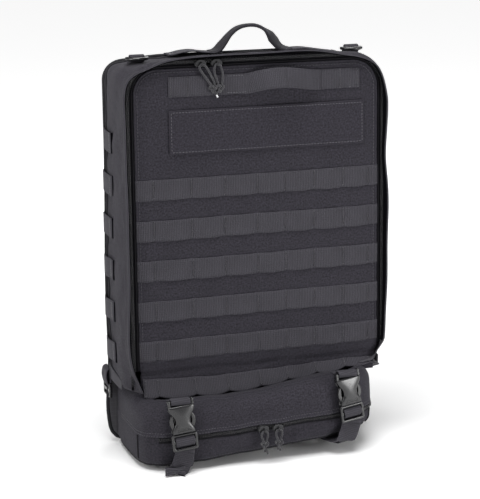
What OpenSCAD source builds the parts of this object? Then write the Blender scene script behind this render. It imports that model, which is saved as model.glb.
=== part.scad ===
// Trauma backpack with a full front door, webbing grid and a strapped-on waist pouch.
// Millimetres. +X to the right as seen from the front, front towards -Y, +Z up.
// The origin is under the middle of the pack, at the level of the ground.

/* [Main compartment] */
// Half width of the front door panel
door_hw = 158; // [150:1:165]
// Height of the door panel's top edge above the ground
door_top = 495; // [480:1:505]
// Height of the door's fold line above the ground
hinge_z = 116; // [112:1:120]
// Radius of the door's top corners
corner_r = 34; // [30:1:55]
// Depth of the compartment behind the door
depth = 92; // [80:1:120]
// Thickness of the padded walls
wall_t = 4; // [3:0.5:6]

/* [Webbing] */
// Width of the webbing rows
web_w = 25.4; // [20:0.1:30]
// Distance between the tops of two rows
row_pitch = 50.8; // [45:0.1:55]
// Height of the top of the highest row
row_top = 360; // [350:1:365]
// Thickness of the webbing
web_t = 2; // [1.5:0.1:2.4]

/* [Waist pouch] */
// How far the pouch reaches to the left
pouch_hw = 166; // [155:1:168]
// How far the pouch reaches to the right
pouch_hr = 153; // [145:1:166]
// Height of the pouch's bottom at its right end; the pouch hangs a little askew
pouch_lift = 25; // [10:1:28]
// Height of its front on the left
pouch_left_h = 88; // [80:1:92]
// Height of its front on the right
pouch_right_h = 102; // [90:1:104]
// How far its front stands out from the door
pouch_out = 54; // [50:1:56]

/* [Handles and harness] */
// Height of the carry handle's top
handle_top = 540; // [530:1:550]
// Thickness of the shoulder pads
pad_t = 14; // [10:1:16]

/* [Hidden] */
$fn = 48;
fabric = "#2b2b30";
webbing = "#38383e";
plastic = "#151517";
mesh = "#1e1e22";
oy = -33;                   // moves the middle of the depth to the origin
body_hw = door_hw + 13;     // outside of the side walls
body_top = door_top + 5;    // top of the box behind the flap
body_back = 6 + depth;      // back face of the back panel
flap_lo = 96;
bk_x = 119;                 // buckles, from the middle
bk_y = -62.5;               // middle of the buckle's thickness
bk_zl = 30;                 // bottom of the left buckle
bk_zr = 43;                 // bottom of the right buckle
slider_z = door_top + 5.7;
eye_z = slider_z - 2.2;
eye_y = -6.6;
door_pull_x = [-73.6, -53.3];
pouch_pull_x = [-17, 2];
pouch_eye_z = 44.4;
pouch_eye_y = -63.9;
handle_x = 21;              // middle of the carry handle
handle_y = 82;
ring_x = 141;
ring_y = 45;
ring_z = body_top + 4.7;
shoulder_y = body_back + 14;
shoulder_z = 478;
// one side of a pull, from its eye down to its knot: x and z
door_route = [[4, -29], [0.5, -20], [-2.8, -12], [-4.2, -6], [-3.6, -2.2], [-2, -0.4], [0, 0],
  [2, -0.4], [3.6, -2.2], [4.4, -6], [5.2, -12], [6, -20], [6, -29]];
door_route_r = [[0, -27], [-2, -20], [-3.6, -12], [-4.2, -6], [-3.6, -2.2], [-2, -0.4], [0, 0],
  [2, -0.4], [3.6, -2.2], [4.2, -6], [4.4, -12], [3.6, -20], [2, -27]];
pouch_route = [[-1, -14], [-2.6, -10], [-4, -6], [-3.6, -2.2], [-2, -0.4], [0, 0],
  [2, -0.4], [3.6, -2.2], [4, -6], [2.8, -10], [1, -14]];

// a slab between y0 and y1 with its outline drawn in X and Z
module slab(y0, y1) {
  translate([0, y1, 0]) rotate([90, 0, 0]) linear_extrude(y1 - y0) children();
}
// a slab between x0 and x1 with its outline drawn in Y and Z
module side_slab(x0, x1) {
  translate([x0, 0, 0]) rotate([90, 0, 90]) linear_extrude(x1 - x0) children();
}
// a block between two corners
module block(a, b) { translate(a) cube(b - a); }
// a rectangle with round corners of one radius at the top and another at the bottom
module rr(x0, z0, x1, z1, rt, rb) {
  translate([x0, z0 + rb]) square([x1 - x0, z1 - z0 - rt - rb]);
  translate([x0 + rt, z1 - rt]) square([x1 - x0 - 2 * rt, rt]);
  translate([x0 + rt, z1 - rt]) circle(rt);
  translate([x1 - rt, z1 - rt]) circle(rt);
  if (rb > 0) {
    translate([x0 + rb, z0]) square([x1 - x0 - 2 * rb, rb]);
    translate([x0 + rb, z0 + rb]) circle(rb);
    translate([x1 - rb, z0 + rb]) circle(rb);
  }
}
// the door's outline grown by o, down to height zb
module door_outline(o, zb) { rr(-door_hw - o, zb, door_hw + o, door_top + o, corner_r + o, 0); }
module frame_ring(o0, o1, zb) {
  difference() { door_outline(o1, zb); door_outline(o0, zb - 5); }
}
// the box's outline, inset by i
module box_outline(i) { rr(-body_hw + i, 92 + i, body_hw - i, body_top - i, 40 - i, 6 - i > 0 ? 6 - i : 0); }
module wall_ring(y0, y1) {
  slab(y0, y1) difference() { box_outline(0); box_outline(wall_t); }
}
// the pouch's front surface, flat in the middle and falling back at the ends
function front(x, off) = -pouch_out - off + (x < -90 ? 10 * pow((-x - 90) / 76, 2) : x > 77 ? 14 * pow((x - 77) / 76, 2) : 0);
function plan_x(i) = i * (i < 0 ? pouch_hw : pouch_hr) / 12;
module pouch_plan(off, back) {
  polygon(concat([for (i = [-12:12]) [plan_x(i), front(plan_x(i), off)]], [[pouch_hr, back], [-pouch_hw, back]]));
}
module pouch_skin(t, z0l, z1l, z0r, z1r, hw) {
  intersection() {
    translate([0, 0, -5]) linear_extrude(130) difference() { pouch_plan(t, -20); pouch_plan(0, -10); }
    slab(-90, 0) polygon([[-hw, z0l], [hw, z0r], [hw, z1r], [-hw, z1l]]);
  }
}
// points of a round tube that follows a route
function dirs(p) = [for (i = [0:len(p) - 1]) let (d = p[min(i + 1, len(p) - 1)] - p[max(i - 1, 0)]) d / norm(d)];
module tube(p, r) {
  n = 8;
  t = dirs(p);
  pts = [for (i = [0:len(p) - 1]) let (b = [0, 1, 0], u = cross(t[i], b) / norm(cross(t[i], b)))
    for (k = [0:n - 1]) p[i] + r * (cos(360 * k / n) * u + sin(360 * k / n) * b)];
  m = len(p);
  faces = concat([[for (k = [n - 1:-1:0]) k]], [[for (k = [0:n - 1]) (m - 1) * n + k]],
    [for (i = [0:m - 2]) for (k = [0:n - 1]) [i * n + k, i * n + (k + 1) % n, (i + 1) * n + (k + 1) % n, (i + 1) * n + k]]);
  polyhedron(pts, faces);
}
module pull(x, y, z, route, knot_r) {
  p = [for (q = route) [x + q[0], y, z + q[1]]];
  e = p[0] / 2 + p[len(p) - 1] / 2;
  union() { tube(p, 1.25); translate(e - [0, 0, knot_r - 1.5]) sphere(knot_r, $fn = 16); }
}
module place() { translate([0, oy, 0]) children(); }
module both() { children(); mirror([1, 0, 0]) children(); }

// ---- back and box ----
module back_panel() color(fabric) place() slab(body_back - 6, body_back) rr(-body_hw, 0, body_hw, body_top, 40, 20);
module frame_sheet() color("#dedede") place() slab(body_back - 8.5, body_back - 6) rr(-155, 100, 155, 490, 30, 10);
module inner_lining() color(fabric) place() slab(body_back - 10.5, body_back - 8.5) rr(-160, 98, 160, 492, 34, 4);
module left_wall() color(fabric) place() block([-body_hw, 6, 98], [-body_hw + wall_t, body_back - 6, 460]);
module right_wall() color(fabric) place() block([body_hw - wall_t, 6, 98], [body_hw, body_back - 6, 460]);
module top_wall() color(fabric) place() intersection() {
  wall_ring(6, body_back - 6);
  block([-300, 0, 460], [300, 200, 600]);
}
module bottom_wall() color(fabric) place() intersection() {
  wall_ring(6, body_back - 6);
  block([-300, 0, 80], [300, 200, 98]);
}
// rim of cloth that stands round the door and hides its zipper
module storm_flap() color(fabric) place() {
  slab(-9, 4) frame_ring(12, 16, flap_lo);
  slab(4, 6) difference() {
    union() { frame_ring(6, 16, flap_lo); }
    translate([-400, 0]) square([800, flap_lo]);
  }
}
module frame_zipper_tape() color(plastic) place() slab(1.5, 3.5) frame_ring(6, 12, flap_lo + 4);
module lower_front_strip() color(fabric) place() slab(0, 6) rr(-162, 92, 162, 113, 0.01, 0);
module molle_row(z, x0, x1) slab(-web_t, 0) translate([x0, z - web_w]) square([x1 - x0, web_w]);
module molle_row_6() color(webbing) place() slab(-web_t, 0) translate([-156, 92.5]) square([312, 13.5]);
// six loops of webbing down each side, each a shallow bridge
module side_loop(z) {
  translate([0, 0, z - web_w]) linear_extrude(web_w)
    polygon([[body_hw, 48], [body_hw, 52], [body_hw + 3, 56], [body_hw + 3, 86], [body_hw, 90], [body_hw, 92],
      [body_hw + 2, 92], [body_hw + 5.5, 87], [body_hw + 5.5, 55], [body_hw + 2, 48]]);
}
module side_loops() color(webbing) place() both() for (i = [0:5]) side_loop(414 - i * 53.6);
module handle_tails() color(webbing) place() {
  block([-85, handle_y - 12.5, body_top], [-24, handle_y + 12.5, body_top + 2]);
  block([66, handle_y - 12.5, body_top], [150, handle_y + 12.5, body_top + 2]);
}
module ring_tabs() color(webbing) place() both() difference() {
  union() {
    block([ring_x - 9, ring_y - 3.6, body_top], [ring_x + 9, ring_y + 3.6, ring_z]);
    translate([ring_x - 9, ring_y, ring_z]) rotate([0, 90, 0]) cylinder(h = 18, r = 3.6);
    block([ring_x - 9, ring_y, body_top], [ring_x + 9, ring_y + 16, body_top + 2]);
  }
  translate([ring_x - 12, ring_y, ring_z]) rotate([0, 90, 0]) cylinder(h = 24, r = 2.25);
}
module back_pads() color(mesh) place() {
  both() slab(body_back, body_back + 12) rr(32, 150, 122, 440, 20, 20);
  slab(body_back, body_back + 12) rr(-128, 34, 128, 126, 20, 20);
}
module strap_yoke() color(fabric) place() block([-104, body_back, shoulder_z - 16], [104, shoulder_y - 0.4, shoulder_z + 10]);
module elastic_loops() color(webbing) place() for (z = [170, 250, 350, 430])
  slab(body_back - 12.5, body_back - 10.5) translate([-150, z]) square([300, 38]);
module inner_divider() color(fabric) place() block([-body_hw + wall_t, 14, 299], [body_hw - wall_t, body_back - 12.5, 304]);

// ---- waist pouch and its straps ----
module pouch_body() color(fabric) place() {
  intersection() {
    translate([0, 0, -5]) linear_extrude(130) pouch_plan(0, -3);
    slab(-90, 0) polygon([[-pouch_hw, 2.5], [pouch_hr, pouch_lift], [pouch_hr, pouch_right_h], [-pouch_hw, pouch_left_h]]);
  }
  slab(-3, body_back - 6) polygon([[-pouch_hw, 2.5], [pouch_hr, pouch_lift], [pouch_hr, 91], [-pouch_hw, 91]]);
}
module pouch_flap() color(fabric) place() pouch_skin(1.8, 45, pouch_left_h - 0.5, 58, pouch_right_h, pouch_hw);
module pouch_zipper_tape() color(plastic) place() pouch_skin(1.2, 40, 45.9, 51, 56.9, 140);
// webbing that lies under the pouch, climbs its front and turns round the plug's bar
// rise is how far it climbs before it turns up the front
module strap(x, z, rise) {
  z0 = z + 15.5;
  side_slab(x - 12.5, x + 12.5) polygon([[body_back - 6, 0], [-12, 0], [-50, rise * 0.55], [-57.6, rise], [-57.6, z0], [bk_y - 3.5, z0], [bk_y - 3.5, z - 29],
    [bk_y - 4.9, z - 29], [bk_y - 4.9, z0 + 1.6], [-56, z0 + 1.6], [-56, rise + 1], [-49.4, rise * 0.55 + 1.7], [-11.8, 1.7], [body_back - 6, 1.7]]);
}
module retention_strap_left() color(webbing) place() strap(-bk_x, bk_zl, 1.5);
module retention_strap_right() color(webbing) place() strap(bk_x - 18, bk_zr, 18);
// webbing from the seam under the door, over the pouch to the socket's bar
module web_loop(x, zt, z) side_slab(x - 12.5, x + 12.5)
  polygon([[-web_t, zt], [-web_t, zt + 1.8], [bk_y + 4.7, zt + 1.8], [bk_y + 4.7, z + 58.3], [bk_y - 4.5, z + 58.3],
    [bk_y - 4.5, z + 56.7], [bk_y + 6.3, z + 56.7], [bk_y + 6.3, zt]]);
module buckle_web_loops() color(webbing) place() {
  web_loop(-bk_x, 97, bk_zl);
  web_loop(bk_x - 18, 105.5, bk_zr);
}
module at_buckle(x, z) translate([x, bk_y, z]) children();
// outline of the socket, waisted where the latch arms show
module socket_outline() polygon([[-14.5, 22.3], [-13.4, 28], [-10.6, 33.5], [-10.4, 38], [-13, 44.5], [-16.5, 51], [-16.5, 63], [-15, 65],
  [15, 65], [16.5, 63], [16.5, 51], [13, 44.5], [10.4, 38], [10.6, 33.5], [13.4, 28], [14.5, 22.3]]);
module socket() {
  slab(-4.5, -2.8) difference() { socket_outline(); translate([-13, 55]) square([26, 5]); }
  slab(2.8, 4.5) difference() { socket_outline(); translate([-13, 55]) square([26, 5]); }
  slab(-2.8, 2.8) difference() { intersection() { socket_outline(); translate([-20, 50]) square([40, 20]); } translate([-13, 55]) square([26, 5]); }
}
module plug() {
  slab(-3, 3) difference() {
    rr(-16.5, 0, 16.5, 21.5, 2, 3);
    translate([-13, 4]) square([26, 5.5]);
    translate([-13, 13.5]) square([26, 5]);
  }
  slab(-1.6, 1.6) polygon([[-3, 21], [3, 21], [3, 42], [1.5, 45], [-1.5, 45], [-3, 42]]);
}
// one latch arm, on the right of its plug
module arm() slab(-2.3, 2.3) polygon([[6, 22.1], [10.5, 22.1], [12.5, 27], [15.5, 32], [16.4, 38], [15.5, 43], [13, 46.5],
  [11, 47], [11.4, 42], [11.6, 37], [9.6, 31], [6, 26]]);
module buckle_sockets() color(plastic) place() { at_buckle(-bk_x, bk_zl) socket(); at_buckle(bk_x - 18, bk_zr) socket(); }
module buckle_plugs() color(plastic) place() { at_buckle(-bk_x, bk_zl) plug(); at_buckle(bk_x - 18, bk_zr) plug(); }
module latch_arm_left_a() color(plastic) place() at_buckle(-bk_x, bk_zl) mirror([1, 0, 0]) arm();
module latch_arm_left_b() color(plastic) place() at_buckle(-bk_x, bk_zl) arm();
module latch_arm_right_a() color(plastic) place() at_buckle(bk_x - 18, bk_zr) mirror([1, 0, 0]) arm();
module latch_arm_right_b() color(plastic) place() at_buckle(bk_x - 18, bk_zr) arm();
// webbing sewn to each side that carries the shoulder strap's adjuster
module anchor_tabs() color(webbing) place() both()
  side_slab(body_hw, body_hw + 1.8) polygon([[30, 98], [56, 98], [100, 104], [106, 104], [106, 84], [98, 84], [40, 92], [30, 92]]);

// ---- door ----
module door_panel() color(fabric) place() slab(0, 6) door_outline(0, hinge_z + 2);
module door_zipper_tape() color(plastic) place() slab(1.5, 3.5) frame_ring(0, 5.4, hinge_z + 2);
module molle_rows() color(webbing) place() for (i = [0:4]) molle_row(row_top - i * row_pitch, -door_hw, door_hw);
module id_patch() color(fabric) place() slab(-1.5, 0) translate([-115, 390]) square([252, 54]);
module grab_strap_ends() color(webbing) place() {
  block([-115, -web_t, 460], [-14, 0, 485]);
  block([79, -web_t, 460], [134, 0, 485]);
}
module mesh_pocket() color(mesh) place() slab(6, 9) rr(-140, 140, 140, 300, 10, 10);
// the arch of the grab handle, between its two bar-tacks
module grab_handle() color(webbing) place() intersection() {
  translate([0, 0, 460]) linear_extrude(25) difference() {
    polygon(concat([for (i = [0:12]) let (s = i / 12) [-10 + 85 * s, -6.6 - 9.4 * sin(180 * s)]],
      [for (i = [12:-1:0]) let (s = i / 12) [-10 + 85 * s, -4.6 - 9.4 * sin(180 * s)]]));
  }
  slab(-40, 0) rr(-12, 460, 80, 485, 1, 1);
}
// ---- carry handle, rings ----
module top_handle() color(webbing) place() slab(handle_y - 6, handle_y + 6) polygon(concat(
  [for (i = [0:14]) let (a = 180 - 180 * i / 14) [handle_x + 46 * cos(a), 508 + (handle_top - 508) * sin(a)]],
  [for (i = [14:-1:0]) let (a = 180 - 180 * i / 14) [handle_x + 42 * cos(a), 508 + (handle_top - 512) * sin(a)]]));
module ring() translate([0, ring_y, ring_z]) {
  translate([-15, 0, 0]) rotate([0, 90, 0]) cylinder(h = 30, r = 2.2);
  rotate([0, 0, 180]) rotate_extrude(angle = 180) translate([13, 0]) circle(2.2, $fn = 24);
}
module ring_left() color(plastic) place() translate([-ring_x, 0, 0]) ring();
module ring_right() color(plastic) place() translate([ring_x, 0, 0]) ring();
// ---- zipper sliders and their cord pulls ----
module slider(x, y, z) {
  block([x - 6, y + 2.4, z - 1.5], [x + 6, y + 7.7, z + 6]);
  difference() {
    block([x - 0.8, y - 2.6, z - 3], [x + 0.8, y + 3, z + 3]);
    translate([x - 2, y, z]) rotate([0, 90, 0]) cylinder(h = 4, r = 1.9);
  }
}
module door_slider_left() color(plastic) place() slider(door_pull_x[0], eye_y, eye_z);
module door_slider_right() color(plastic) place() slider(door_pull_x[1], eye_y, eye_z);
module pouch_slider_left() color(plastic) place() slider(pouch_pull_x[0], pouch_eye_y, pouch_eye_z);
module pouch_slider_right() color(plastic) place() slider(pouch_pull_x[1], pouch_eye_y, pouch_eye_z);
module door_pull_left() color(webbing) place() pull(door_pull_x[0], eye_y, eye_z, door_route, 3.8);
module door_pull_right() color(webbing) place() pull(door_pull_x[1], eye_y, eye_z, door_route_r, 3.8);
module pouch_pull_left() color(webbing) place() pull(pouch_pull_x[0], pouch_eye_y, pouch_eye_z, pouch_route, 3.8);
module pouch_pull_right() color(webbing) place() pull(pouch_pull_x[1], pouch_eye_y, pouch_eye_z, pouch_route, 3.8);
// ---- harness ----
module shoulder_pad(y) slab(y, y + pad_t) polygon([[40, 486], [46, 490], [98, 490], [103, 486], [104, 400], [112, 330],
  [126, 250], [132, 205], [126, 192], [98, 190], [90, 198], [80, 260], [58, 330], [44, 400]]);
module shoulder_pad_right() color(fabric) place() shoulder_pad(shoulder_y);
module shoulder_pad_left() color(fabric) place() mirror([1, 0, 0]) shoulder_pad(shoulder_y);
module lower_webbing_right() color(webbing) place() slab(shoulder_y + 1, shoulder_y + 3)
  polygon([[100, 189.9], [126, 189.9], [178, 88], [152, 88]]);
module lower_webbing_left() color(webbing) place() mirror([1, 0, 0]) slab(shoulder_y + 1, shoulder_y + 3)
  polygon([[100, 189.9], [126, 189.9], [178, 88], [152, 88]]);
module adjuster() side_slab(body_hw + 3, body_hw + 7) difference() {
  translate([84, 62]) square([32, 20]);
  translate([88, 65]) square([24, 4]);
  translate([88, 74]) square([24, 4.5]);
}
module adjuster_right() color(plastic) place() adjuster();
module adjuster_left() color(plastic) place() mirror([1, 0, 0]) adjuster();
st_y = shoulder_y + pad_t + 0.4;
module sternum_webbing() color(webbing) place() both() block([23, st_y + 1.8, 352], [70, st_y + 3.6, 372]);
module sternum_buckle() color(plastic) place() slab(st_y, st_y + 7) rr(-22.8, 347, 22.8, 377, 6, 6);
module sternum_sliders() color(plastic) place() both() slab(st_y, st_y + 1.6) rr(50, 350, 82, 374, 3, 3);

back_panel();
frame_sheet();
inner_lining();
left_wall();
right_wall();
top_wall();
bottom_wall();
storm_flap();
frame_zipper_tape();
lower_front_strip();
molle_row_6();
side_loops();
handle_tails();
ring_tabs();
back_pads();
strap_yoke();
elastic_loops();
inner_divider();
pouch_body();
pouch_flap();
pouch_zipper_tape();
retention_strap_left();
retention_strap_right();
buckle_web_loops();
buckle_sockets();
buckle_plugs();
anchor_tabs();
door_panel();
door_zipper_tape();
molle_rows();
id_patch();
grab_strap_ends();
mesh_pocket();
grab_handle();
top_handle();
ring_left();
ring_right();
door_slider_left();
door_slider_right();
door_pull_left();
door_pull_right();
pouch_slider_left();
pouch_slider_right();
pouch_pull_left();
pouch_pull_right();
latch_arm_left_a();
latch_arm_left_b();
latch_arm_right_a();
latch_arm_right_b();
shoulder_pad_left();
shoulder_pad_right();
lower_webbing_left();
lower_webbing_right();
adjuster_left();
adjuster_right();
sternum_webbing();
sternum_buckle();
sternum_sliders();
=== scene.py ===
import math

import bpy
import numpy as np
from mathutils import Matrix, Vector


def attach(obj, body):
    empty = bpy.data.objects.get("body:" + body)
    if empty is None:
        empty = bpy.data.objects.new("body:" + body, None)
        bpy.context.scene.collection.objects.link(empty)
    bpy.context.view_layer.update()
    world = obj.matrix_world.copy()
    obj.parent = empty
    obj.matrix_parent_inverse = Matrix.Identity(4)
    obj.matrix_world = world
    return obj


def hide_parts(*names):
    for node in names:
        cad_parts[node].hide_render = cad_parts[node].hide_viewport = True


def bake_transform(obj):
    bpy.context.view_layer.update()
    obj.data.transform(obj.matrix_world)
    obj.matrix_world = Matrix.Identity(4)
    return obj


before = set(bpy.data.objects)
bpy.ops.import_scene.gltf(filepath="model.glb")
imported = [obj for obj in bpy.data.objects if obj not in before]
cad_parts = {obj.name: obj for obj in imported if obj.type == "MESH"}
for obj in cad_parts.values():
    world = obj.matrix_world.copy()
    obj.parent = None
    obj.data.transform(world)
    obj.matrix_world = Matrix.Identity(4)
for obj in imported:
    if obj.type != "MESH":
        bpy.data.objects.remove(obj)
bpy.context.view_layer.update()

OY = -33.0  # design Y of the door's face to the frame's Y
scene = bpy.context.scene


# ---------------------------------------------------------------- numbers
def A(*p):
    return np.array(p, float)


def to_frame(p):
    """Design millimetres, with Y = 0 on the door's face, to the frame's metres."""
    return (np.asarray(p, float) + A(0, OY, 0)) / 1000.0


def norm(v):
    v = np.asarray(v, float)
    return v / np.maximum(np.linalg.norm(v, axis=-1, keepdims=True), 1e-9)


def smooth01(t):
    t = np.clip(t, 0, 1)
    return t * t * (3 - 2 * t)


def waves(a, b, size, seed, n=7):
    """A smooth, repeatable bumpy field over two coordinates, about -1 to 1."""
    r = np.random.default_rng(seed)
    out = np.zeros(np.broadcast(a, b).shape)
    for k in range(n):
        t, ph, f = r.uniform(0, 2 * np.pi), r.uniform(0, 2 * np.pi), r.uniform(0.6, 1.7)
        out = out + np.sin((a * np.cos(t) + b * np.sin(t)) * 2 * np.pi * f / size + ph)
    return out / (0.72 * n ** 0.5 * 1.6)


def catmull(points, step=2.0):
    """A smooth line through the points, with a point about every step."""
    p = np.asarray(points, float)
    e = np.vstack([2 * p[0] - p[1], p, 2 * p[-1] - p[-2]])
    out = []
    for i in range(1, len(e) - 2):
        a, b, c, d = e[i - 1], e[i], e[i + 1], e[i + 2]
        n = max(2, int(math.ceil(np.linalg.norm(c - b) / step)))
        for t in np.arange(n) / n:
            out.append(0.5 * (2 * b + (c - a) * t + (2 * a - 5 * b + 4 * c - d) * t * t + (3 * b - 3 * c + d - a) * t ** 3))
    out.append(p[-1])
    return np.array(out)


def spaced(p, step):
    p = np.asarray(p, float)
    s = np.concatenate([[0], np.cumsum(np.linalg.norm(np.diff(p, axis=0), axis=1))])
    t = np.linspace(0, s[-1], max(2, int(round(s[-1] / step)) + 1))
    return np.stack([np.interp(t, s, p[:, k]) for k in range(p.shape[1])], axis=1)


def tucked(v):
    """lower right corner of the front: the cloth is drawn in where it meets the pouch"""
    v = np.array(v, float)
    k = np.maximum(v[:, 1] + 8, 0)
    z = v[:, 2] + 0.31 * k
    lim = np.interp(z, [90, 107, 118, 129, 137, 146], [150.5, 150.5, 155.0, 164.5, 168.5, 173.0]) + 0.41 * k
    over = np.maximum(v[:, 0] - lim, 0)
    v[:, 0] -= over * 0.88 * (1 - smooth01((v[:, 1] - 60) / 30.0)) * smooth01((148 - z) / 16.0)
    return v


def length_of(p):
    return float(np.linalg.norm(np.diff(p, axis=0), axis=1).sum())


# ---------------------------------------------------------------- meshes
class Build:
    """Collects vertices, faces and cloth coordinates of one piece, in design millimetres."""

    def __init__(self):
        self.v, self.f, self.w, self.m = [], [], [], []
        self.n = 0

    def add(self, verts, faces, wv=None, mat=0):
        verts = np.asarray(verts, float).reshape(-1, 3)
        w = np.zeros((len(verts), 3)) if wv is None else np.asarray(wv, float).reshape(-1, 3)
        self.v.append(verts)
        self.w.append(w)
        self.f += [tuple(int(i) + self.n for i in f) for f in faces]
        self.m += [mat] * len(faces) if np.isscalar(mat) else list(mat)
        self.n += len(verts)
        return self

    def make(self, name, mats, smooth=True, sharp=None, xf=None):
        v, w = np.vstack(self.v), np.vstack(self.w)
        if xf is not None:
            v = xf(v)
        me = bpy.data.meshes.new(name)
        me.from_pydata(to_frame(v).tolist(), [], self.f)
        me.update()
        a = me.attributes.new("wv", "FLOAT_VECTOR", "POINT")
        scaled = w.copy()
        scaled[:, :2] /= 1000.0
        a.data.foreach_set("vector", scaled.astype(np.float32).ravel())
        for m in mats:
            me.materials.append(m)
        me.polygons.foreach_set("material_index", self.m)
        me.polygons.foreach_set("use_smooth", [smooth] * len(me.polygons))
        me.validate()
        if sharp is not None:
            me.set_sharp_from_angle(angle=math.radians(sharp))
        ob = bpy.data.objects.new(name, me)
        scene.collection.objects.link(ob)
        return ob


def grid_faces(nu, nv, base=0, flip=False, wrap_u=False, wrap_v=False):
    out = []
    for i in range(nu if wrap_u else nu - 1):
        for j in range(nv if wrap_v else nv - 1):
            a, b = base + i * nv + j, base + ((i + 1) % nu) * nv + j
            c, d = base + ((i + 1) % nu) * nv + (j + 1) % nv, base + i * nv + (j + 1) % nv
            out.append((a, b, c, d) if not flip else (d, c, b, a))
    return out


def grid_normals(P, wrap_u=False):
    if wrap_u:
        du = np.roll(P, -1, 0) - np.roll(P, 1, 0)
    else:
        du = np.gradient(P, axis=0)
    dv = np.gradient(P, axis=1)
    return norm(np.cross(du, dv))


def arc_coords(P):
    """Cloth coordinates of a grid, in millimetres, from its own lengths."""
    du = np.linalg.norm(np.diff(P, axis=0), axis=2).mean(1)
    dv = np.linalg.norm(np.diff(P, axis=1), axis=2).mean(0)
    u = np.concatenate([[0], np.cumsum(du)])
    v = np.concatenate([[0], np.cumsum(dv)])
    return np.stack(np.meshgrid(u, v, indexing="ij"), axis=2)


def cloth(b, P, thick, out=(0, -1, 0), wv=None, edge=0.3, mat=0, mat_in=None, wrap_u=False, sides=(1, 1, 1, 1), only_front=False):
    """Adds a thin closed solid: P (nu, nv, 3) is its outer face, and it is thick deep, with rounded edges. sides says which of u0, u1, v0, v1 are cut edges."""
    P = np.asarray(P, float)
    nu, nv = P.shape[:2]
    N = grid_normals(P, wrap_u)
    if (N * np.asarray(out, float)).sum(2).mean() < 0 if np.ndim(out) == 1 else (N * out).sum(2).mean() < 0:
        N = -N
        flipped = True
    else:
        flipped = False
    t = np.broadcast_to(np.asarray(thick, float), (nu, nv))
    g = np.ones((nu, nv))
    wear = np.zeros((nu, nv))
    if not wrap_u:
        if sides[0]: g[0, :] = edge; wear[0, :] = 1
        if sides[1]: g[-1, :] = edge; wear[-1, :] = 1
    if sides[2]: g[:, 0] = edge; wear[:, 0] = 1
    if sides[3]: g[:, -1] = edge; wear[:, -1] = 1
    F = P - N * (t * (1 - g) / 2)[..., None]
    B = P - N * (t * (1 + g) / 2)[..., None]
    W = arc_coords(P) if wv is None else np.asarray(wv, float)
    W = np.concatenate([W[..., :2], wear[..., None]], axis=2)
    mi = mat if mat_in is None else mat_in
    n = nu * nv
    verts, wv2 = [F.reshape(-1, 3)], [W.reshape(-1, 3)]
    faces, mats = grid_faces(nu, nv, 0, flipped, wrap_u), []
    mats += [mat] * len(faces)
    if not only_front:
        verts.append(B.reshape(-1, 3))
        wv2.append(W.reshape(-1, 3))
        back = grid_faces(nu, nv, n, not flipped, wrap_u)
        faces += back
        mats += [mi] * len(back)
        rim = []
        for j in range(nv - 1):
            if not wrap_u:
                rim.append((j, j + 1, n + j + 1, n + j))
                k = (nu - 1) * nv + j
                rim.append((k + 1, k, n + k, n + k + 1))
        for i in range(nu if wrap_u else nu - 1):
            a, c = i * nv, ((i + 1) % nu) * nv
            rim.append((c, a, n + a, n + c))
            a, c = a + nv - 1, c + nv - 1
            rim.append((a, c, n + c, n + a))
        if flipped:
            rim = [r[::-1] for r in rim]
        faces += rim
        mats += [mat] * len(rim)
    b.add(np.vstack(verts), faces, np.vstack(wv2), mats)
    return b


def tangents(p, closed=False):
    if closed:
        return norm(np.roll(p, -1, 0) - np.roll(p, 1, 0))
    t = np.gradient(p, axis=0)
    return norm(t)


def strip(b, path, across, width, thick=1.5, mat=0, n=8, wscale=None, s0=0.0, crown=0.0, taper=None):
    """Adds webbing: a flat band along path, as wide as width along across, with rounded edges."""
    p = np.asarray(path, float)
    t = tangents(p)
    a = np.broadcast_to(np.asarray(across, float), p.shape).copy()
    a = norm(a - (a * t).sum(1, keepdims=True) * t)
    nn = norm(np.cross(t, a))
    w = np.full(len(p), width) if wscale is None else width * np.asarray(wscale, float)
    e = min(0.7, width * 0.12)
    s = np.concatenate([[0], np.cumsum(np.linalg.norm(np.diff(p, axis=0), axis=1))]) + s0
    cols = np.concatenate([[-0.5], np.linspace(-0.5 + e / width, 0.5 - e / width, n - 1), [0.5]])
    g = np.ones(n + 1)
    g[[0, -1]] = 0.35
    rings, wvs = [], []
    for side in (1, -1):
        idx = range(n + 1) if side == 1 else range(n, -1, -1)
        for j in idx:
            bow = crown * (1 - (2 * cols[j]) ** 2)
            rings.append(p + a * (cols[j] * w)[:, None] + nn * (side * g[j] * thick / 2 + bow))
            wear = np.full(len(p), 1.0 if j in (0, n) else 0.0)
            wvs.append(np.stack([s, cols[j] * w, wear], axis=1))
    R = np.stack(rings, axis=1)
    W = np.stack(wvs, axis=1)
    m = R.shape[1]
    faces = grid_faces(len(p), m, 0, False, False, True)
    faces = [f[::-1] for f in faces]
    faces.append(tuple(range(m)))
    faces.append(tuple((len(p) - 1) * m + k for k in range(m - 1, -1, -1)))
    b.add(R.reshape(-1, 3), faces, W.reshape(-1, 3), mat)
    return b


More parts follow.
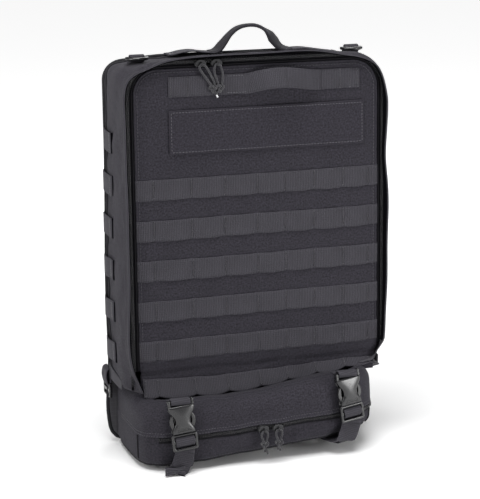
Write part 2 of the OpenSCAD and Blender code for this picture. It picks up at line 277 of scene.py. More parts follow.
def tube(b, path, r, sides=8, mat=0, closed=False, up=(0, 0, 1), flat=1.0, s0=0.0, radii=None):
    p = np.asarray(path, float)
    t = tangents(p, closed)
    u = np.asarray(up, float)
    if abs((t @ u)).max() > 0.98:
        u = A(0, 1, 0) if abs(t @ A(0, 1, 0)).max() < 0.98 else A(1, 0, 0)
    # a frame carried along the line
    x = norm(np.cross(t[0], u))
    xs = [x]
    for i in range(1, len(p)):
        x = xs[-1] - (xs[-1] @ t[i]) * t[i]
        xs.append(norm(x))
    X = np.array(xs)
    Y = np.cross(t, X)
    th = np.arange(sides) / sides * 2 * np.pi
    rr = np.full(len(p), r) if radii is None else np.asarray(radii, float)
    R = p[:, None] + rr[:, None, None] * (np.cos(th)[None, :, None] * X[:, None] + flat * np.sin(th)[None, :, None] * Y[:, None])
    s = np.concatenate([[0], np.cumsum(np.linalg.norm(np.diff(p, axis=0), axis=1))]) + s0
    W = np.stack(np.broadcast_arrays(s[:, None], (th * r)[None, :], 0 * s[:, None]), axis=2)
    faces = [f[::-1] for f in grid_faces(len(p), sides, 0, True, closed, True)]
    if not closed:
        faces.append(tuple(range(sides)))
        faces.append(tuple((len(p) - 1) * sides + k for k in range(sides - 1, -1, -1)))
    b.add(R.reshape(-1, 3), faces, W.reshape(-1, 3), mat)
    return b


def stitches(b, path, normal, gap=4.2, run=2.9, w=0.42, h=0.32, mat=0, lift=0.1):
    """Adds a row of thread dashes along a line, standing off a surface whose normal is given."""
    p = spaced(path, 0.5) if len(path) < 4000 else np.asarray(path, float)
    s = np.concatenate([[0], np.cumsum(np.linalg.norm(np.diff(p, axis=0), axis=1))])
    nr = np.asarray(normal, float)
    k, pos = 0, gap * 0.4
    while pos + run < s[-1]:
        c = np.stack([np.interp([pos, pos + run * 0.18, pos + run * 0.5, pos + run * 0.82, pos + run], s, p[:, i]) for i in range(3)], axis=1)
        if nr.ndim == 2:
            q = np.array([np.interp(pos + run / 2, np.linspace(0, s[-1], len(nr)), nr[:, i]) for i in range(3)])
        else:
            q = nr
        q = norm(q)
        d = norm(c[-1] - c[0])
        a = norm(np.cross(q, d))
        prof = [(0.0, -0.15), (0.8, 0.5), (1.0, 1.0), (0.8, 0.5), (0.0, -0.15)]
        verts = []
        for (ws, hs), cc in zip(prof, c):
            for ang in (0, 72, 144, 216, 288):
                ca, sa = math.cos(math.radians(ang)), math.sin(math.radians(ang))
                verts.append(cc + a * (w * max(ws, 0.15) * ca) + q * (lift + h * hs * 0.6 + h * 0.6 * max(ws, 0.15) * sa))
        faces = grid_faces(5, 5, 0, True, False, True)
        faces += [(4, 3, 2, 1, 0), (20, 21, 22, 23, 24)]
        wv = np.zeros((25, 3))
        wv[:, 0] = pos + k
        b.add(verts, [f[::-1] for f in faces], wv, mat)
        pos += gap
        k += 1
    return b


def tack(b, a, c, normal, w=1.3, pitch=0.85, r=0.27, mat=0, lift=0.25):
    """Adds a bar-tack: close zigzag stitching from a to c."""
    a, c, q = A(*a), A(*c), norm(A(*normal))
    n = max(4, int(np.linalg.norm(c - a) / pitch))
    side = norm(np.cross(c - a, q))
    pts = [a + (c - a) * i / n + side * (w if i % 2 else -w) + q * lift for i in range(n + 1)]
    return tube(b, pts, r, 4, mat, up=tuple(q))


def coil(b, path, normal, side, r=1.35, pitch=2.0, wire=0.42, mat=0, flat=0.62):
    """Adds one side of a coil zipper: a flattened spring of wire along a line."""
    p = spaced(path, pitch / 7.0)
    t = tangents(p)
    nr = np.broadcast_to(np.asarray(normal, float), p.shape) if np.ndim(normal) == 1 else normal
    q = norm(nr - (nr * t).sum(1, keepdims=True) * t)
    a = np.cross(t, q) * side
    th = np.arange(len(p)) / 7.0 * 2 * np.pi
    h = p + a * (r * np.cos(th))[:, None] + q * (r * flat * np.sin(th))[:, None]
    return tube(b, h, wire, 4, mat, up=(0.3, 0.5, 0.8))


def chaikin(pts, k=2, closed=True):
    p = np.asarray(pts, float)
    for _ in range(k):
        nxt = np.roll(p, -1, 0)
        q = np.empty((2 * len(p), 2))
        q[0::2], q[1::2] = 0.75 * p + 0.25 * nxt, 0.25 * p + 0.75 * nxt
        p = q
    return p


def moulded(name, outlines, y0, y1, bevel, mat, at=(0, 0, 0), plane="xz", res=2, xf=None):
    """A moulded plate: outlines (the first is the outside, the rest are holes) drawn in X and Z, between y0 and y1, with every edge rounded."""
    cu = bpy.data.curves.new(name, "CURVE")
    cu.dimensions, cu.fill_mode = "2D", "BOTH"
    half = (y1 - y0) / 2
    cu.extrude, cu.bevel_depth, cu.bevel_resolution, cu.offset = half - bevel, bevel, res, -bevel
    for o in outlines:
        o = np.asarray(o, float)
        sp = cu.splines.new("POLY")
        sp.points.add(len(o) - 1)
        sp.points.foreach_set("co", np.column_stack([o, np.zeros(len(o)), np.ones(len(o))]).ravel())
        sp.use_cyclic_u = True
    tmp = bpy.data.objects.new(name + "_c", cu)
    me = bpy.data.meshes.new_from_object(tmp)
    bpy.data.objects.remove(tmp)
    bpy.data.curves.remove(cu)
    co = np.zeros(len(me.vertices) * 3)
    me.vertices.foreach_get("co", co)
    co = co.reshape(-1, 3)
    mid = (y0 + y1) / 2
    if plane == "xz":      # drawn as seen from the front
        v = np.column_stack([co[:, 0], mid - co[:, 2], co[:, 1]])
    elif plane == "yz":    # drawn as seen from the right side
        v = np.column_stack([mid + co[:, 2], co[:, 0], co[:, 1]])
    v = v + np.asarray(at, float)
    flat = v.copy()
    if xf is not None:
        v = xf(v)
    me.vertices.foreach_set("co", to_frame(v).ravel())
    me.materials.clear()
    me.materials.append(mat)
    a = me.attributes.new("wv", "FLOAT_VECTOR", "POINT")
    a.data.foreach_set("vector", np.column_stack([flat[:, 0] / 1000, flat[:, 2] / 1000, 0 * v[:, 0]]).astype(np.float32).ravel())
    me.polygons.foreach_set("material_index", [0] * len(me.polygons))
    me.polygons.foreach_set("use_smooth", [True] * len(me.polygons))
    me.update()
    me.set_sharp_from_angle(angle=math.radians(38))
    ob = bpy.data.objects.new(name, me)
    scene.collection.objects.link(ob)
    return ob


def join(name, obs):
    """One object from several, with their materials."""
    base = obs[0]
    bpy.ops.object.select_all(action="DESELECT")
    for o in obs:
        o.select_set(True)
    bpy.context.view_layer.objects.active = base
    bpy.ops.object.join()
    base.name = name
    base.data.name = name
    return base


def on(ob, body, slot, *nodes):
    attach(ob, body)
    if nodes:
        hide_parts(*nodes)
    return ob


# ---------------------------------------------------------------- camera
YAW, PITCH, ROLL = math.radians(18.03), math.radians(12.34), math.radians(-0.77)
back = Vector((-math.sin(YAW) * math.cos(PITCH), -math.cos(YAW) * math.cos(PITCH), math.sin(PITCH)))
right = (-back).cross(Vector((0, 0, 1))).normalized()
up = right.cross(-back)
r2 = math.cos(ROLL) * right + math.sin(ROLL) * up
u2 = -math.sin(ROLL) * right + math.cos(ROLL) * up
cam_data = bpy.data.cameras.new("camera")
cam_data.sensor_width = 36.0
cam_data.lens = 1838.2 * 36.0 / 499.0
cam = bpy.data.objects.new("camera", cam_data)
eye = Vector((-0.0255, OY / 1000, 0.2642)) + 2.3 * back
cam.matrix_world = Matrix(((r2.x, u2.x, back.x, eye.x), (r2.y, u2.y, back.y, eye.y), (r2.z, u2.z, back.z, eye.z), (0, 0, 0, 1)))
cam_data.clip_start, cam_data.clip_end = 0.1, 100
scene.collection.objects.link(cam)
scene.camera = cam


# ---------------------------------------------------------------- materials
class Nodes:
    def __init__(self, name):
        self.mat = bpy.data.materials.new(name)
        self.mat.use_nodes = True
        self.t = self.mat.node_tree
        self.t.nodes.clear()
        self.out = self.t.nodes.new("ShaderNodeOutputMaterial")
        self.bsdf = self.t.nodes.new("ShaderNodeBsdfPrincipled")
        self.t.links.new(self.bsdf.outputs[0], self.out.inputs[0])

    def put(self, where, what):
        if isinstance(what, bpy.types.NodeSocket):
            self.t.links.new(what, where)
        elif what is not None:
            where.default_value = what

    def math(self, op, a, b=None, c=None, clamp=False):
        n = self.t.nodes.new("ShaderNodeMath")
        n.operation, n.use_clamp = op, clamp
        for i, x in enumerate((a, b, c)):
            if x is not None:
                self.put(n.inputs[i], x)
        return n.outputs[0]

    def uv(self):
        n = self.t.nodes.new("ShaderNodeAttribute")
        n.attribute_name = "wv"
        s = self.t.nodes.new("ShaderNodeSeparateXYZ")
        self.t.links.new(n.outputs["Vector"], s.inputs[0])
        return n.outputs["Vector"], s.outputs[0], s.outputs[1], s.outputs[2]

    def noise(self, vec, scale, detail=2.0, rough=0.5, lac=2.0):
        n = self.t.nodes.new("ShaderNodeTexNoise")
        n.inputs["Scale"].default_value = scale
        n.inputs["Detail"].default_value = detail
        n.inputs["Roughness"].default_value = rough
        if vec is not None:
            self.t.links.new(vec, n.inputs["Vector"])
        return n.outputs["Fac"]

    def obj(self):
        n = self.t.nodes.new("ShaderNodeTexCoord")
        return n.outputs["Object"]

    def ramp(self, fac, stops):
        n = self.t.nodes.new("ShaderNodeValToRGB")
        e = n.color_ramp.elements
        while len(e) < len(stops):
            e.new(0.5)
        for x, (pos, c) in zip(e, stops):
            x.position = pos
            x.color = (*c, 1) if len(c) == 3 else c
        self.put(n.inputs[0], fac)
        return n.outputs[0]

    def mix(self, fac, a, b):
        n = self.t.nodes.new("ShaderNodeMix")
        n.data_type = "RGBA"
        self.put(n.inputs[0], fac)
        for i, x in ((6, a), (7, b)):
            self.put(n.inputs[i], (*x, 1) if isinstance(x, tuple) and len(x) == 3 else x)
        return n.outputs[2]

    def bump(self, height, distance, strength=1.0, under=None):
        n = self.t.nodes.new("ShaderNodeBump")
        n.inputs["Strength"].default_value = strength
        n.inputs["Distance"].default_value = distance
        self.put(n.inputs["Height"], height)
        if under is not None:
            self.t.links.new(under, n.inputs["Normal"])
        return n.outputs[0]

    def done(self, color, rough, normal=None, spec=0.5, sheen=0.0, sheen_rough=0.5, sheen_tint=(1, 1, 1), metal=0.0, coat=0.0, coat_rough=0.2):
        i = self.bsdf.inputs
        self.put(i["Base Color"], (*color, 1) if isinstance(color, tuple) else color)
        self.put(i["Roughness"], rough)
        i["Specular IOR Level"].default_value = spec
        i["Metallic"].default_value = metal
        i["Sheen Weight"].default_value = sheen
        i["Sheen Roughness"].default_value = sheen_rough
        i["Sheen Tint"].default_value = (*sheen_tint, 1)
        i["Coat Weight"].default_value = coat
        i["Coat Roughness"].default_value = coat_rough
        if normal is not None:
            self.put(i["Normal"], normal)
        return self.mat


def mul(c, k):
    return tuple(x * k for x in c)


def woven(name, color, pitch=0.95, depth=0.00022, spec=0.22, sheen=0.05, mottle=0.24, rough=0.86, speck=0.5):
    """Heavy plain-weave nylon: warp and weft threads, uneven yarn, soft mottling and paler rubbed threads at the edges."""
    n = Nodes(name)
    vec, u, v, w = n.uv()
    k = 2 * math.pi / (2 * pitch / 1000)
    # each thread goes over and under, and the yarn wanders a little
    wob = n.noise(vec, 260, 2, 0.5)
    uu = n.math("MULTIPLY_ADD", wob, 0.0006, u)
    vv = n.math("MULTIPLY_ADD", wob, -0.0005, v)
    su = n.math("SINE", n.math("MULTIPLY", uu, k))
    sv = n.math("SINE", n.math("MULTIPLY", vv, k))
    weave = n.math("MULTIPLY", su, sv)                       # -1 to 1, a chequer of humps
    hump = n.math("ABSOLUTE", weave)
    grain = n.noise(vec, 850, 3, 0.65)
    fleck = n.noise(vec, 430, 2, 0.6)
    cloud = n.noise(vec, 38, 3, 0.55)
    tone = n.math("MULTIPLY_ADD", cloud, mottle, 1.0 - mottle / 2)
    tone = n.math("MULTIPLY", tone, n.math("MULTIPLY_ADD", fleck, 2.7, -0.35, clamp=False))
    lum = n.math("MULTIPLY_ADD", weave, 0.16, 0.92)
    lum = n.math("MULTIPLY", lum, tone)
    g2 = n.math("MULTIPLY_ADD", grain, 2.4, -0.75, clamp=True)
    lum = n.math("MULTIPLY", lum, n.math("MULTIPLY_ADD", g2, speck, 1.0 - speck / 2))
    worn = n.math("MULTIPLY", w, n.math("MULTIPLY_ADD", n.noise(vec, 120, 2), 1.3, -0.1, clamp=True))
    lum = n.math("ADD", lum, n.math("MULTIPLY", worn, 0.7))
    base = n.mix(n.math("MULTIPLY", lum, 0.5, clamp=True), (0.0, 0.0, 0.0), mul(color, 2.0))
    height = n.math("ADD", n.math("MULTIPLY", hump, 0.6), n.math("MULTIPLY", grain, 0.7))
    nrm = n.bump(height, depth, 0.8)
    nrm = n.bump(fleck, 0.0005, 0.6, under=nrm)
    nrm = n.bump(n.noise(vec, 60, 2), 0.0012, 0.5, under=nrm)
    r = n.math("MULTIPLY_ADD", grain, 0.12, rough - 0.06)
    return n.done(base, r, nrm, spec, sheen, 0.45, (0.75, 0.74, 0.8))


def webbing_mat(name, color, rib=2.2, cols=2.6, depth=0.0005, spec=0.28, sheen=0.05, dark=0.25):
    """Nylon webbing: ribs across it, fine columns along it, and a paler rubbed rim at its selvedges."""
    n = Nodes(name)
    vec, u, v, w = n.uv()
    ku, kv = 2 * math.pi / (rib / 1000), 2 * math.pi / (cols / 1000)
    ribs = n.math("SINE", n.math("MULTIPLY_ADD", n.noise(vec, 140, 1), 1.2, n.math("MULTIPLY", u, ku)))
    columns = n.math("SINE", n.math("MULTIPLY", v, kv))
    grain = n.noise(vec, 900, 2, 0.6)
    h = n.math("ADD", n.math("MULTIPLY", ribs, 0.6), n.math("MULTIPLY", columns, 0.2))
    h = n.math("ADD", h, n.math("MULTIPLY", grain, 0.5))
    cloud = n.noise(vec, 45, 2)
    lum = n.math("MULTIPLY_ADD", ribs, 0.24, 0.86)
    lum = n.math("MULTIPLY", lum, n.math("MULTIPLY_ADD", cloud, 0.4, 0.8))
    lum = n.math("MULTIPLY", lum, n.math("MULTIPLY_ADD", grain, 1.0, 0.5))
    lum = n.math("MULTIPLY_ADD", w, 0.3, lum)
    base = n.mix(n.math("MULTIPLY", lum, 0.5, clamp=True), (0.0, 0.0, 0.0), mul(color, 2.0))
    nrm = n.bump(h, depth, 0.7)
    r = n.math("MULTIPLY_ADD", grain, 0.15, 0.68)
    return n.done(base, r, nrm, spec, sheen, 0.4, (0.8, 0.8, 0.85))


def plastic(name, color, rough=0.34, spec=0.5, grain=0.00006, coat=0.0):
    """Moulded acetal: faint spark-eroded texture, handling marks in the gloss."""
    n = Nodes(name)
    vec = n.obj()
    fine, broad = n.noise(vec, 2600, 2, 0.5), n.noise(vec, 90, 3, 0.6)
    base = n.mix(broad, mul(color, 0.85), mul(color, 1.18))
    r = n.math("MULTIPLY_ADD", broad, 0.16, rough - 0.08)
    return n.done(base, r, n.bump(fine, grain, 0.5), spec, coat=coat)


def metal(name, color, rough=0.35):
    n = Nodes(name)
    vec = n.obj()
    chip = n.noise(vec, 700, 3, 0.6)
    m = n.math("MULTIPLY_ADD", chip, 6.0, -3.9, clamp=True)
    base = n.mix(m, color, (0.32, 0.31, 0.30))
    return n.done(base, n.math("MULTIPLY_ADD", n.noise(vec, 200, 2), 0.2, rough - 0.1), n.bump(n.noise(vec, 1500, 2), 0.00004, 0.4), 0.5, metal=0.6)


def thread(name, color):
    """Bonded sewing thread, twisted."""
    n = Nodes(name)
    vec = n.obj()
    tw = n.noise(vec, 1800, 2, 0.5)
    base = n.mix(tw, mul(color, 0.7), mul(color, 1.35))
    return n.done(base, 0.6, n.bump(tw, 0.0001, 0.5), 0.4, 0.2)


def braid(name, color, pitch=1.5):
    """Braided cord: two families of strands crossing round it."""
    n = Nodes(name)
    vec, u, v, w = n.uv()
    a = n.math("SINE", n.math("MULTIPLY", n.math("ADD", u, v), 2 * math.pi / (pitch / 1000)))
    c = n.math("SINE", n.math("MULTIPLY", n.math("SUBTRACT", u, v), 2 * math.pi / (pitch / 1000)))
    h = n.math("MAXIMUM", a, c)
    base = n.mix(n.math("MULTIPLY_ADD", h, 0.35, 0.5, clamp=True), mul(color, 0.6), mul(color, 1.3))
    return n.done(base, 0.7, n.bump(h, 0.0003, 0.7), 0.35, 0.25)


def spacer(name, color):
    """Knitted spacer mesh: rows of small open cells, coloured darker towards their middles as painted shade."""
    n = Nodes(name)
    vec, u, v, w = n.uv()
    vo = n.t.nodes.new("ShaderNodeTexVoronoi")
    vo.inputs["Scale"].default_value = 330
    vo.inputs["Randomness"].default_value = 0.12
    n.t.links.new(vec, vo.inputs["Vector"])
    cell_depth_and_shade = n.math("MULTIPLY_ADD", vo.outputs["Distance"], 2.6, -0.25, clamp=True)
    grain = n.noise(vec, 1500, 2)
    # painted shade: the open cells are coloured darker towards their middles
    base = n.mix(cell_depth_and_shade, mul(color, 0.25), mul(color, 1.25))
    h = n.math("MULTIPLY_ADD", grain, 0.3, cell_depth_and_shade)
    return n.done(base, 0.85, n.bump(h, 0.0008, 0.9), 0.25, 0.2)


def lining(name, color):
    """Coated lining cloth: fine ripstop squares under a faint sheen."""
    n = Nodes(name)
    vec, u, v, w = n.uv()
    gu = n.math("GREATER_THAN", n.math("FRACT", n.math("MULTIPLY", u, 1000 / 6.0)), 0.9)
    gv = n.math("GREATER_THAN", n.math("FRACT", n.math("MULTIPLY", v, 1000 / 6.0)), 0.9)
    g = n.math("MAXIMUM", gu, gv)
    grain = n.noise(vec, 900, 2)
    lum = n.math("MULTIPLY_ADD", g, 0.25, n.math("MULTIPLY_ADD", grain, 0.3, 0.75))
    base = n.mix(n.math("MULTIPLY", lum, 0.5), (0, 0, 0), mul(color, 2.0))
    h = n.math("MULTIPLY_ADD", g, 0.6, grain)
    return n.done(base, 0.55, n.bump(n.math("MULTIPLY_ADD", n.noise(vec, 30, 2), 4.0, h), 0.0003, 0.6), 0.4)


FAB = woven("cordura", (0.0200, 0.0182, 0.0246))
# painted light: a lighter copy of the door's cordura, for the side and top walls, which the lamps light more than the
# door
FAB_SIDE_LIT = woven("cordura_side_painted_light", (0.0245, 0.0225, 0.0290))
# painted shade: a darker copy of the same cordura, for the back gusset strip and the ID panel's backing, which lie in
# shade
FAB_SHADED = woven("cordura_painted_shade", (0.0150, 0.0140, 0.0178), sheen=0.03)
# painted shade: near-black cloth for the storm flap's inside, the band behind the main zipper and the side loops' hems,
# all of which lie in shade
SHADE_CLOTH = woven("flap_facing", (0.0022, 0.0020, 0.0030), spec=0.03, sheen=0.0)
FAB_PATCH = woven("patch_cloth", (0.0195, 0.0175, 0.0240), pitch=0.7, depth=0.00015, mottle=0.14, speck=0.4)
FAB_POUCH = woven("cordura_pouch", (0.0215, 0.0196, 0.0262), mottle=0.34)
BIND = webbing_mat("binding_tape", (0.0100, 0.0094, 0.0122), rib=1.1, cols=1.4, depth=0.0002)
WEB = webbing_mat("webbing", (0.0330, 0.0308, 0.0385))
WEB_DARK = webbing_mat("webbing_handle", (0.0180, 0.0168, 0.0215))
TAPE = webbing_mat("zipper_tape", (0.0050, 0.0046, 0.0064), rib=0.9, cols=1.0, depth=0.00012, spec=0.12, sheen=0.0)
COIL = plastic("zipper_coil", (0.018, 0.0175, 0.020), 0.20, 0.6)
PLAS = plastic("buckle_plastic", (0.0085, 0.0083, 0.0095), 0.24, 0.6, grain=0.00006)
SLIDER = metal("slider_metal", (0.03, 0.03, 0.032), 0.24)
CORD = braid("pull_cord", (0.0180, 0.0170, 0.0215))
THREAD = thread("thread", (0.070, 0.067, 0.078))
THREAD_DARK = thread("thread_dark", (0.040, 0.038, 0.046))
MESH = spacer("spacer_mesh", (0.018, 0.0172, 0.0215))
LINE = lining("lining", (0.055, 0.053, 0.060))
FOAM = lining("inner_cloth", (0.035, 0.034, 0.040))
HDPE = plastic("sheet_plastic", (0.62, 0.62, 0.6), 0.45, 0.4)
ELAS = webbing_mat("elastic", (0.030, 0.029, 0.034), rib=2.2, cols=3.0, depth=0.0005)


# ---------------------------------------------------------------- free cords: the four zipper pulls
def pull(name, body, cad, x, y, z, route, knot_z, tails, tip=False):
    """A cord doubled through the slider's eye, with both ends tied in one knot."""
    p = A(*[(x + q[0], y, z + q[1]) for q in route])
    line = spaced(catmull(p, 0.8), 0.8)
    b = Build()
    tube(b, line, 1.35, 10)
    cord = b.make(name, [CORD])
    on(cord, body, "cord", cad)
    # the knot: a small closed turn of the same cord, with its ends hanging out below
    e = p[0] / 2 + p[-1] / 2
    k = Build()
    t = np.linspace(0, 2 * np.pi, 60, endpoint=False)
    c = e + A(0, 0, -knot_z)
    knot = np.stack([c[0] + 1.45 * (np.sin(t) + 2 * np.sin(2 * t)), c[1] - 1.5 * np.sin(3 * t), c[2] + 1.55 * (np.cos(t) - 2 * np.cos(2 * t))], axis=1)
    tube(k, knot, 1.4, 9, closed=True, up=(0.1, 1, 0.2))
    for dx, dy, dz in tails:
        tl = catmull([c + A(0.3 * np.sign(dx), 0, -1.0), c + A(dx * 0.4, dy * 0.4, dz * 0.45), c + A(dx, dy, dz)], 0.7)
        tube(k, tl, 1.4, 9, radii=np.linspace(1.5, 1.25, len(tl)))
    mats = [CORD]
    if tip:
        dx, dy, dz = tails[-1]
        a0, a1 = c + A(dx * 0.72, dy * 0.72, dz * 0.74), c + A(dx * 1.04, dy * 1.04, dz * 1.05)
        tube(k, catmull([a0, (a0 + a1) / 2, a1], 0.6), 1.35, 10, mat=1)
        mats.append(TIP)
    kn = k.make(name + "_knot", mats)
    on(kn, body, "cord")
    return cord


TIP = metal("cord_tip", (0.55, 0.55, 0.56), 0.25)
EY, EZ = -6.6, 498.5
DOOR_X = (-73.6, -53.3)
POUCH_X, PEY, PEZ = (-17.0, 2.0), -63.9, 44.4
door_route = [[12.6, -26], [8.0, -20], [3.2, -13], [-1.6, -6], [-2.6, -2.4], [-1.6, -0.4], [0, 0],
              [2.2, -0.2], [5.6, -2.4], [9.6, -9], [13.2, -16], [15.8, -21.4], [16.2, -26]]
door_route_r = [[1.4, -26], [-1.8, -18], [-3.6, -11], [-4.0, -6], [-3.4, -2.4], [-1.8, -0.4], [0, 0],
                [2, -0.4], [4.0, -2.4], [5.6, -7], [6.6, -12], [6.6, -19], [4.8, -26]]
pouch_route = [[-1.4, -14], [-2.6, -10], [-4, -6], [-3.6, -2.2], [-2, -0.4], [0, 0],
               [2, -0.4], [3.6, -2.2], [4, -6], [2.8, -10], [1.4, -14]]
pull("door_cord_left", "door_pull_l", "door_pull_left", DOOR_X[0], EY, EZ, door_route, 3.4, [(5.6, 0.2, -10.5)], tip=True)
pull("door_cord_right", "door_pull_r", "door_pull_right", DOOR_X[1], EY, EZ, door_route_r, 3.2, [(-4.6, -0.6, -6.0)])
pull("pouch_cord_left", "pouch_pull_l", "pouch_pull_left", POUCH_X[0], PEY, PEZ, pouch_route, 3.2, [(3.8, -0.3, -12.5), (0.4, 0.5, -9.5)])
pull("pouch_cord_right", "pouch_pull_r", "pouch_pull_right", POUCH_X[1], PEY, PEZ, pouch_route, 3.2, [(1.6, -0.2, -10.0), (-2.0, 0.3, -8.0)])


# ---------------------------------------------------------------- outlines
DOOR_HW, DOOR_TOP, R_DOOR = 158.6, 495.0, A(30.0, 34.0)


def both(r):
    return A(r, r) if np.isscalar(r) else np.asarray(r, float)


def outline(hw, top, r, zb, n_side=60, n_arc=18, n_top=60):
    """Left side upwards, round the corner, across the top and down the right side: points (x, z) with matching indices for any size."""
    rl, rr = both(r)
    a = np.linspace(0, 1, n_side, endpoint=False)
    left = np.stack([np.full(n_side, -hw), zb + (top - rl - zb) * a], axis=1)
    th = np.linspace(180, 90, n_arc, endpoint=False) * np.pi / 180
    c1 = np.stack([-hw + rl + rl * np.cos(th), top - rl + rl * np.sin(th)], axis=1)
    t = np.linspace(-hw + rl, hw - rr, n_top, endpoint=False)
    tp = np.stack([t, np.full(n_top, top)], axis=1)
    th = np.linspace(90, 0, n_arc, endpoint=False) * np.pi / 180
    c2 = np.stack([hw - rr + rr * np.cos(th), top - rr + rr * np.sin(th)], axis=1)
    rt = np.stack([np.full(n_side + 1, hw), top - rr + (zb - top + rr) * np.linspace(0, 1, n_side + 1)], axis=1)
    return np.vstack([left, c1, tp, c2, rt])


def outward(o):
    t = np.gradient(o, axis=0)
    n = np.stack([-t[:, 1], t[:, 0]], axis=1)
    return n / np.linalg.norm(n, axis=1, keepdims=True)


def ring_path(off, y, zb):
    """A line round the door at an offset from its edge."""
    o = outline(DOOR_HW + off, DOOR_TOP + off, R_DOOR + off, zb)
    if off > 3:
        # drawn in a little round the corners
        c = smooth01((o[:, 1] - 462) / 22.0) * smooth01((np.abs(o[:, 0]) - 112) / 20.0)
        o = o - outward(o) * (1.7 * c)[:, None]
    return np.stack([o[:, 0], np.full(len(o), y), o[:, 1]], axis=1)


# ---------------------------------------------------------------- box of the pack: one lofted shell
# lip of the storm flap (x, z) and, beside it, the matching point of the back seam
KEYS = A(
    (-158.5, 91, -174, 92), (-164, 105, -174.5, 106), (-170.6, 125, -175.2, 125), (-174.0, 155, -175.6, 155), (-173.2, 210, -175.4, 210), (-172.4, 270, -175.2, 270),
    (-173, 330, -174, 330), (-172.2, 395, -172.6, 395), (-173.2, 437, -171.8, 437), (-173.2, 462, -171.8, 466), (-168.9, 481, -171.4, 481), (-158.3, 491.6, -168.4, 489.6),
    (-144.7, 497.2, -161.5, 494.6), (-131, 502.6, -146, 497.2), (-115.4, 507, -122, 499.2), (-88, 510.0, -88, 500.2), (-50, 511.0, -50, 500.6), (-12, 511.2, -12, 500.6),
    (25, 511.6, 25, 500.6), (55, 511.2, 55, 500.6), (79, 509.6, 84, 500), (98.8, 506.6, 108, 498.5), (113, 504, 126, 496.6), (129, 501.2, 143, 494), (144, 496.1, 157, 490.5),
    (155.6, 487.6, 165, 485), (163.2, 473.5, 170, 475), (168.1, 453.3, 171.4, 459), (169.6, 437.7, 171.6, 437.7), (169.2, 405, 171.4, 405), (168.6, 372, 171.8, 372),
    (170.2, 334, 171.2, 334), (170.6, 280, 172, 280), (169.6, 220, 171.3, 220), (169.2, 170, 172, 170), (168, 142, 171.8, 142), (165.4, 126.5, 171.6, 126),
    (162.0, 115.0, 171.4, 115), (153.4, 107.4, 171.2, 107), (141, 104.6, 171, 100), (131, 103.4, 171, 93))
LIP, SEAM = [], []
for i in range(len(KEYS) - 1):
    n = max(3, int(np.linalg.norm(KEYS[i + 1, :2] - KEYS[i, :2]) / 3.2))
    k = [max(i - 1, 0), i, i + 1, min(i + 2, len(KEYS) - 1)]
    p0, p1, p2, p3 = KEYS[k]
    if i == 0: p0 = 2 * p1 - p2
    if i == len(KEYS) - 2: p3 = 2 * p2 - p1
    for t in np.arange(n) / n:
        q = 0.5 * (2 * p1 + (p2 - p0) * t + (2 * p0 - 5 * p1 + 4 * p2 - p3) * t * t + (3 * p1 - 3 * p2 + p3 - p0) * t ** 3)
        LIP.append(q[:2])
        SEAM.append(q[2:])
LIP, SEAM = np.array(LIP + [KEYS[-1, :2]]), np.array(SEAM + [KEYS[-1, 2:]])
COUNT = np.arange(len(LIP)) / (len(LIP) - 1.0)


def from_door(o):
    """Distance of points (x, z) from the door's outline, positive outside it."""
    r = np.where(o[:, 0] < 0, R_DOOR[0], R_DOOR[1])
    qx, qz = np.abs(o[:, 0]) - DOOR_HW + r, o[:, 1] - DOOR_TOP + r
    return np.where((qx > 0) & (qz > 0), np.hypot(qx, qz), np.maximum(qx, qz)) - r


def near_corner(o):
    """1 on the door's two top corners, 0 on its straight edges."""
    return smooth01((o[:, 1] - 462) / 22.0) * smooth01((np.abs(o[:, 0]) - 112) / 20.0)


def gusset(y, inset=0.0):
    """Outline of the side and top cloth at depth y: from the lip of the flap back to the seam, with its bulge and wrinkles."""
    f = smooth01((y + 9) / 37.0)
    # low on the right the lip swings in over the end of the webbing row, and the cloth behind it comes back quickly
    slow = smooth01((COUNT - 0.905) / 0.05)
    g = f * (1 - slow) + slow * smooth01((y + 9) / 60.0)
    o = LIP + (SEAM - LIP) * np.reshape(g, (-1, 1))
    n = outward(o)
    up_side = smooth01(np.minimum(COUNT, 1 - COUNT) * 14)
    # behind its lip the cloth clears the zipper
    need = (10.6 - 1.4 * near_corner(o)) * float(smooth01((y + 7.5) / 7.0) * (1 - smooth01((y - 6) / 14.0)))
    need = need * np.where(o[:, 0] > 0, smooth01((o[:, 1] - 134) / 14.0), smooth01((o[:, 1] - 110) / 14.0))
    o = o + n * np.maximum(need - from_door(o), 0)[:, None] * (np.minimum(need, 1) > 0)[:, None] if need.max() > 0 else o
    b = 1.8 * math.sin(math.pi * min(1, max(0, (y + 2) / 82.0))) if -2 < y < 80 else 0
    side = (np.abs(o[:, 0]) > 160) * 1.0
    side = np.convolve(np.pad(side, 6, mode="edge"), np.ones(13) / 13, "valid")
    wr = 0.7 * waves(o[:, 1] + o[:, 0], np.full(len(o), y * 1.3), 80, 3) + 0.4 * waves(o[:, 1] - o[:, 0], np.full(len(o), y * 1.2), 34, 4)
    free = 1 - smooth01((y + 9) / 16.0)
    d = b * up_side * side + wr * smooth01((y + 4) / 20) + 0.7 * free * waves(o[:, 1] * 1.0, o[:, 0], 130, 8) - inset
    if y > 79:
        d = d - 2.4 * math.sin(math.pi * min(1, (y - 79) / 13.5)) * side
    o = o + n * d[:, None]
    return np.stack([o[:, 0], np.full(len(o), y) + 0.8 * free * waves(o[:, 0], o[:, 1], 150, 9), o[:, 1]], axis=1)


def cut(path, z=127.0):
    """The zipper stops where the cloth swings in over it, low on the right."""
    return path[~((path[:, 0] > 0) & (path[:, 2] < z))]


def outward_of(P):
    return np.stack([norm(P[:, 0] * A(1, 0, 1) - A(0, 0, 280))] * P.shape[1], axis=1)


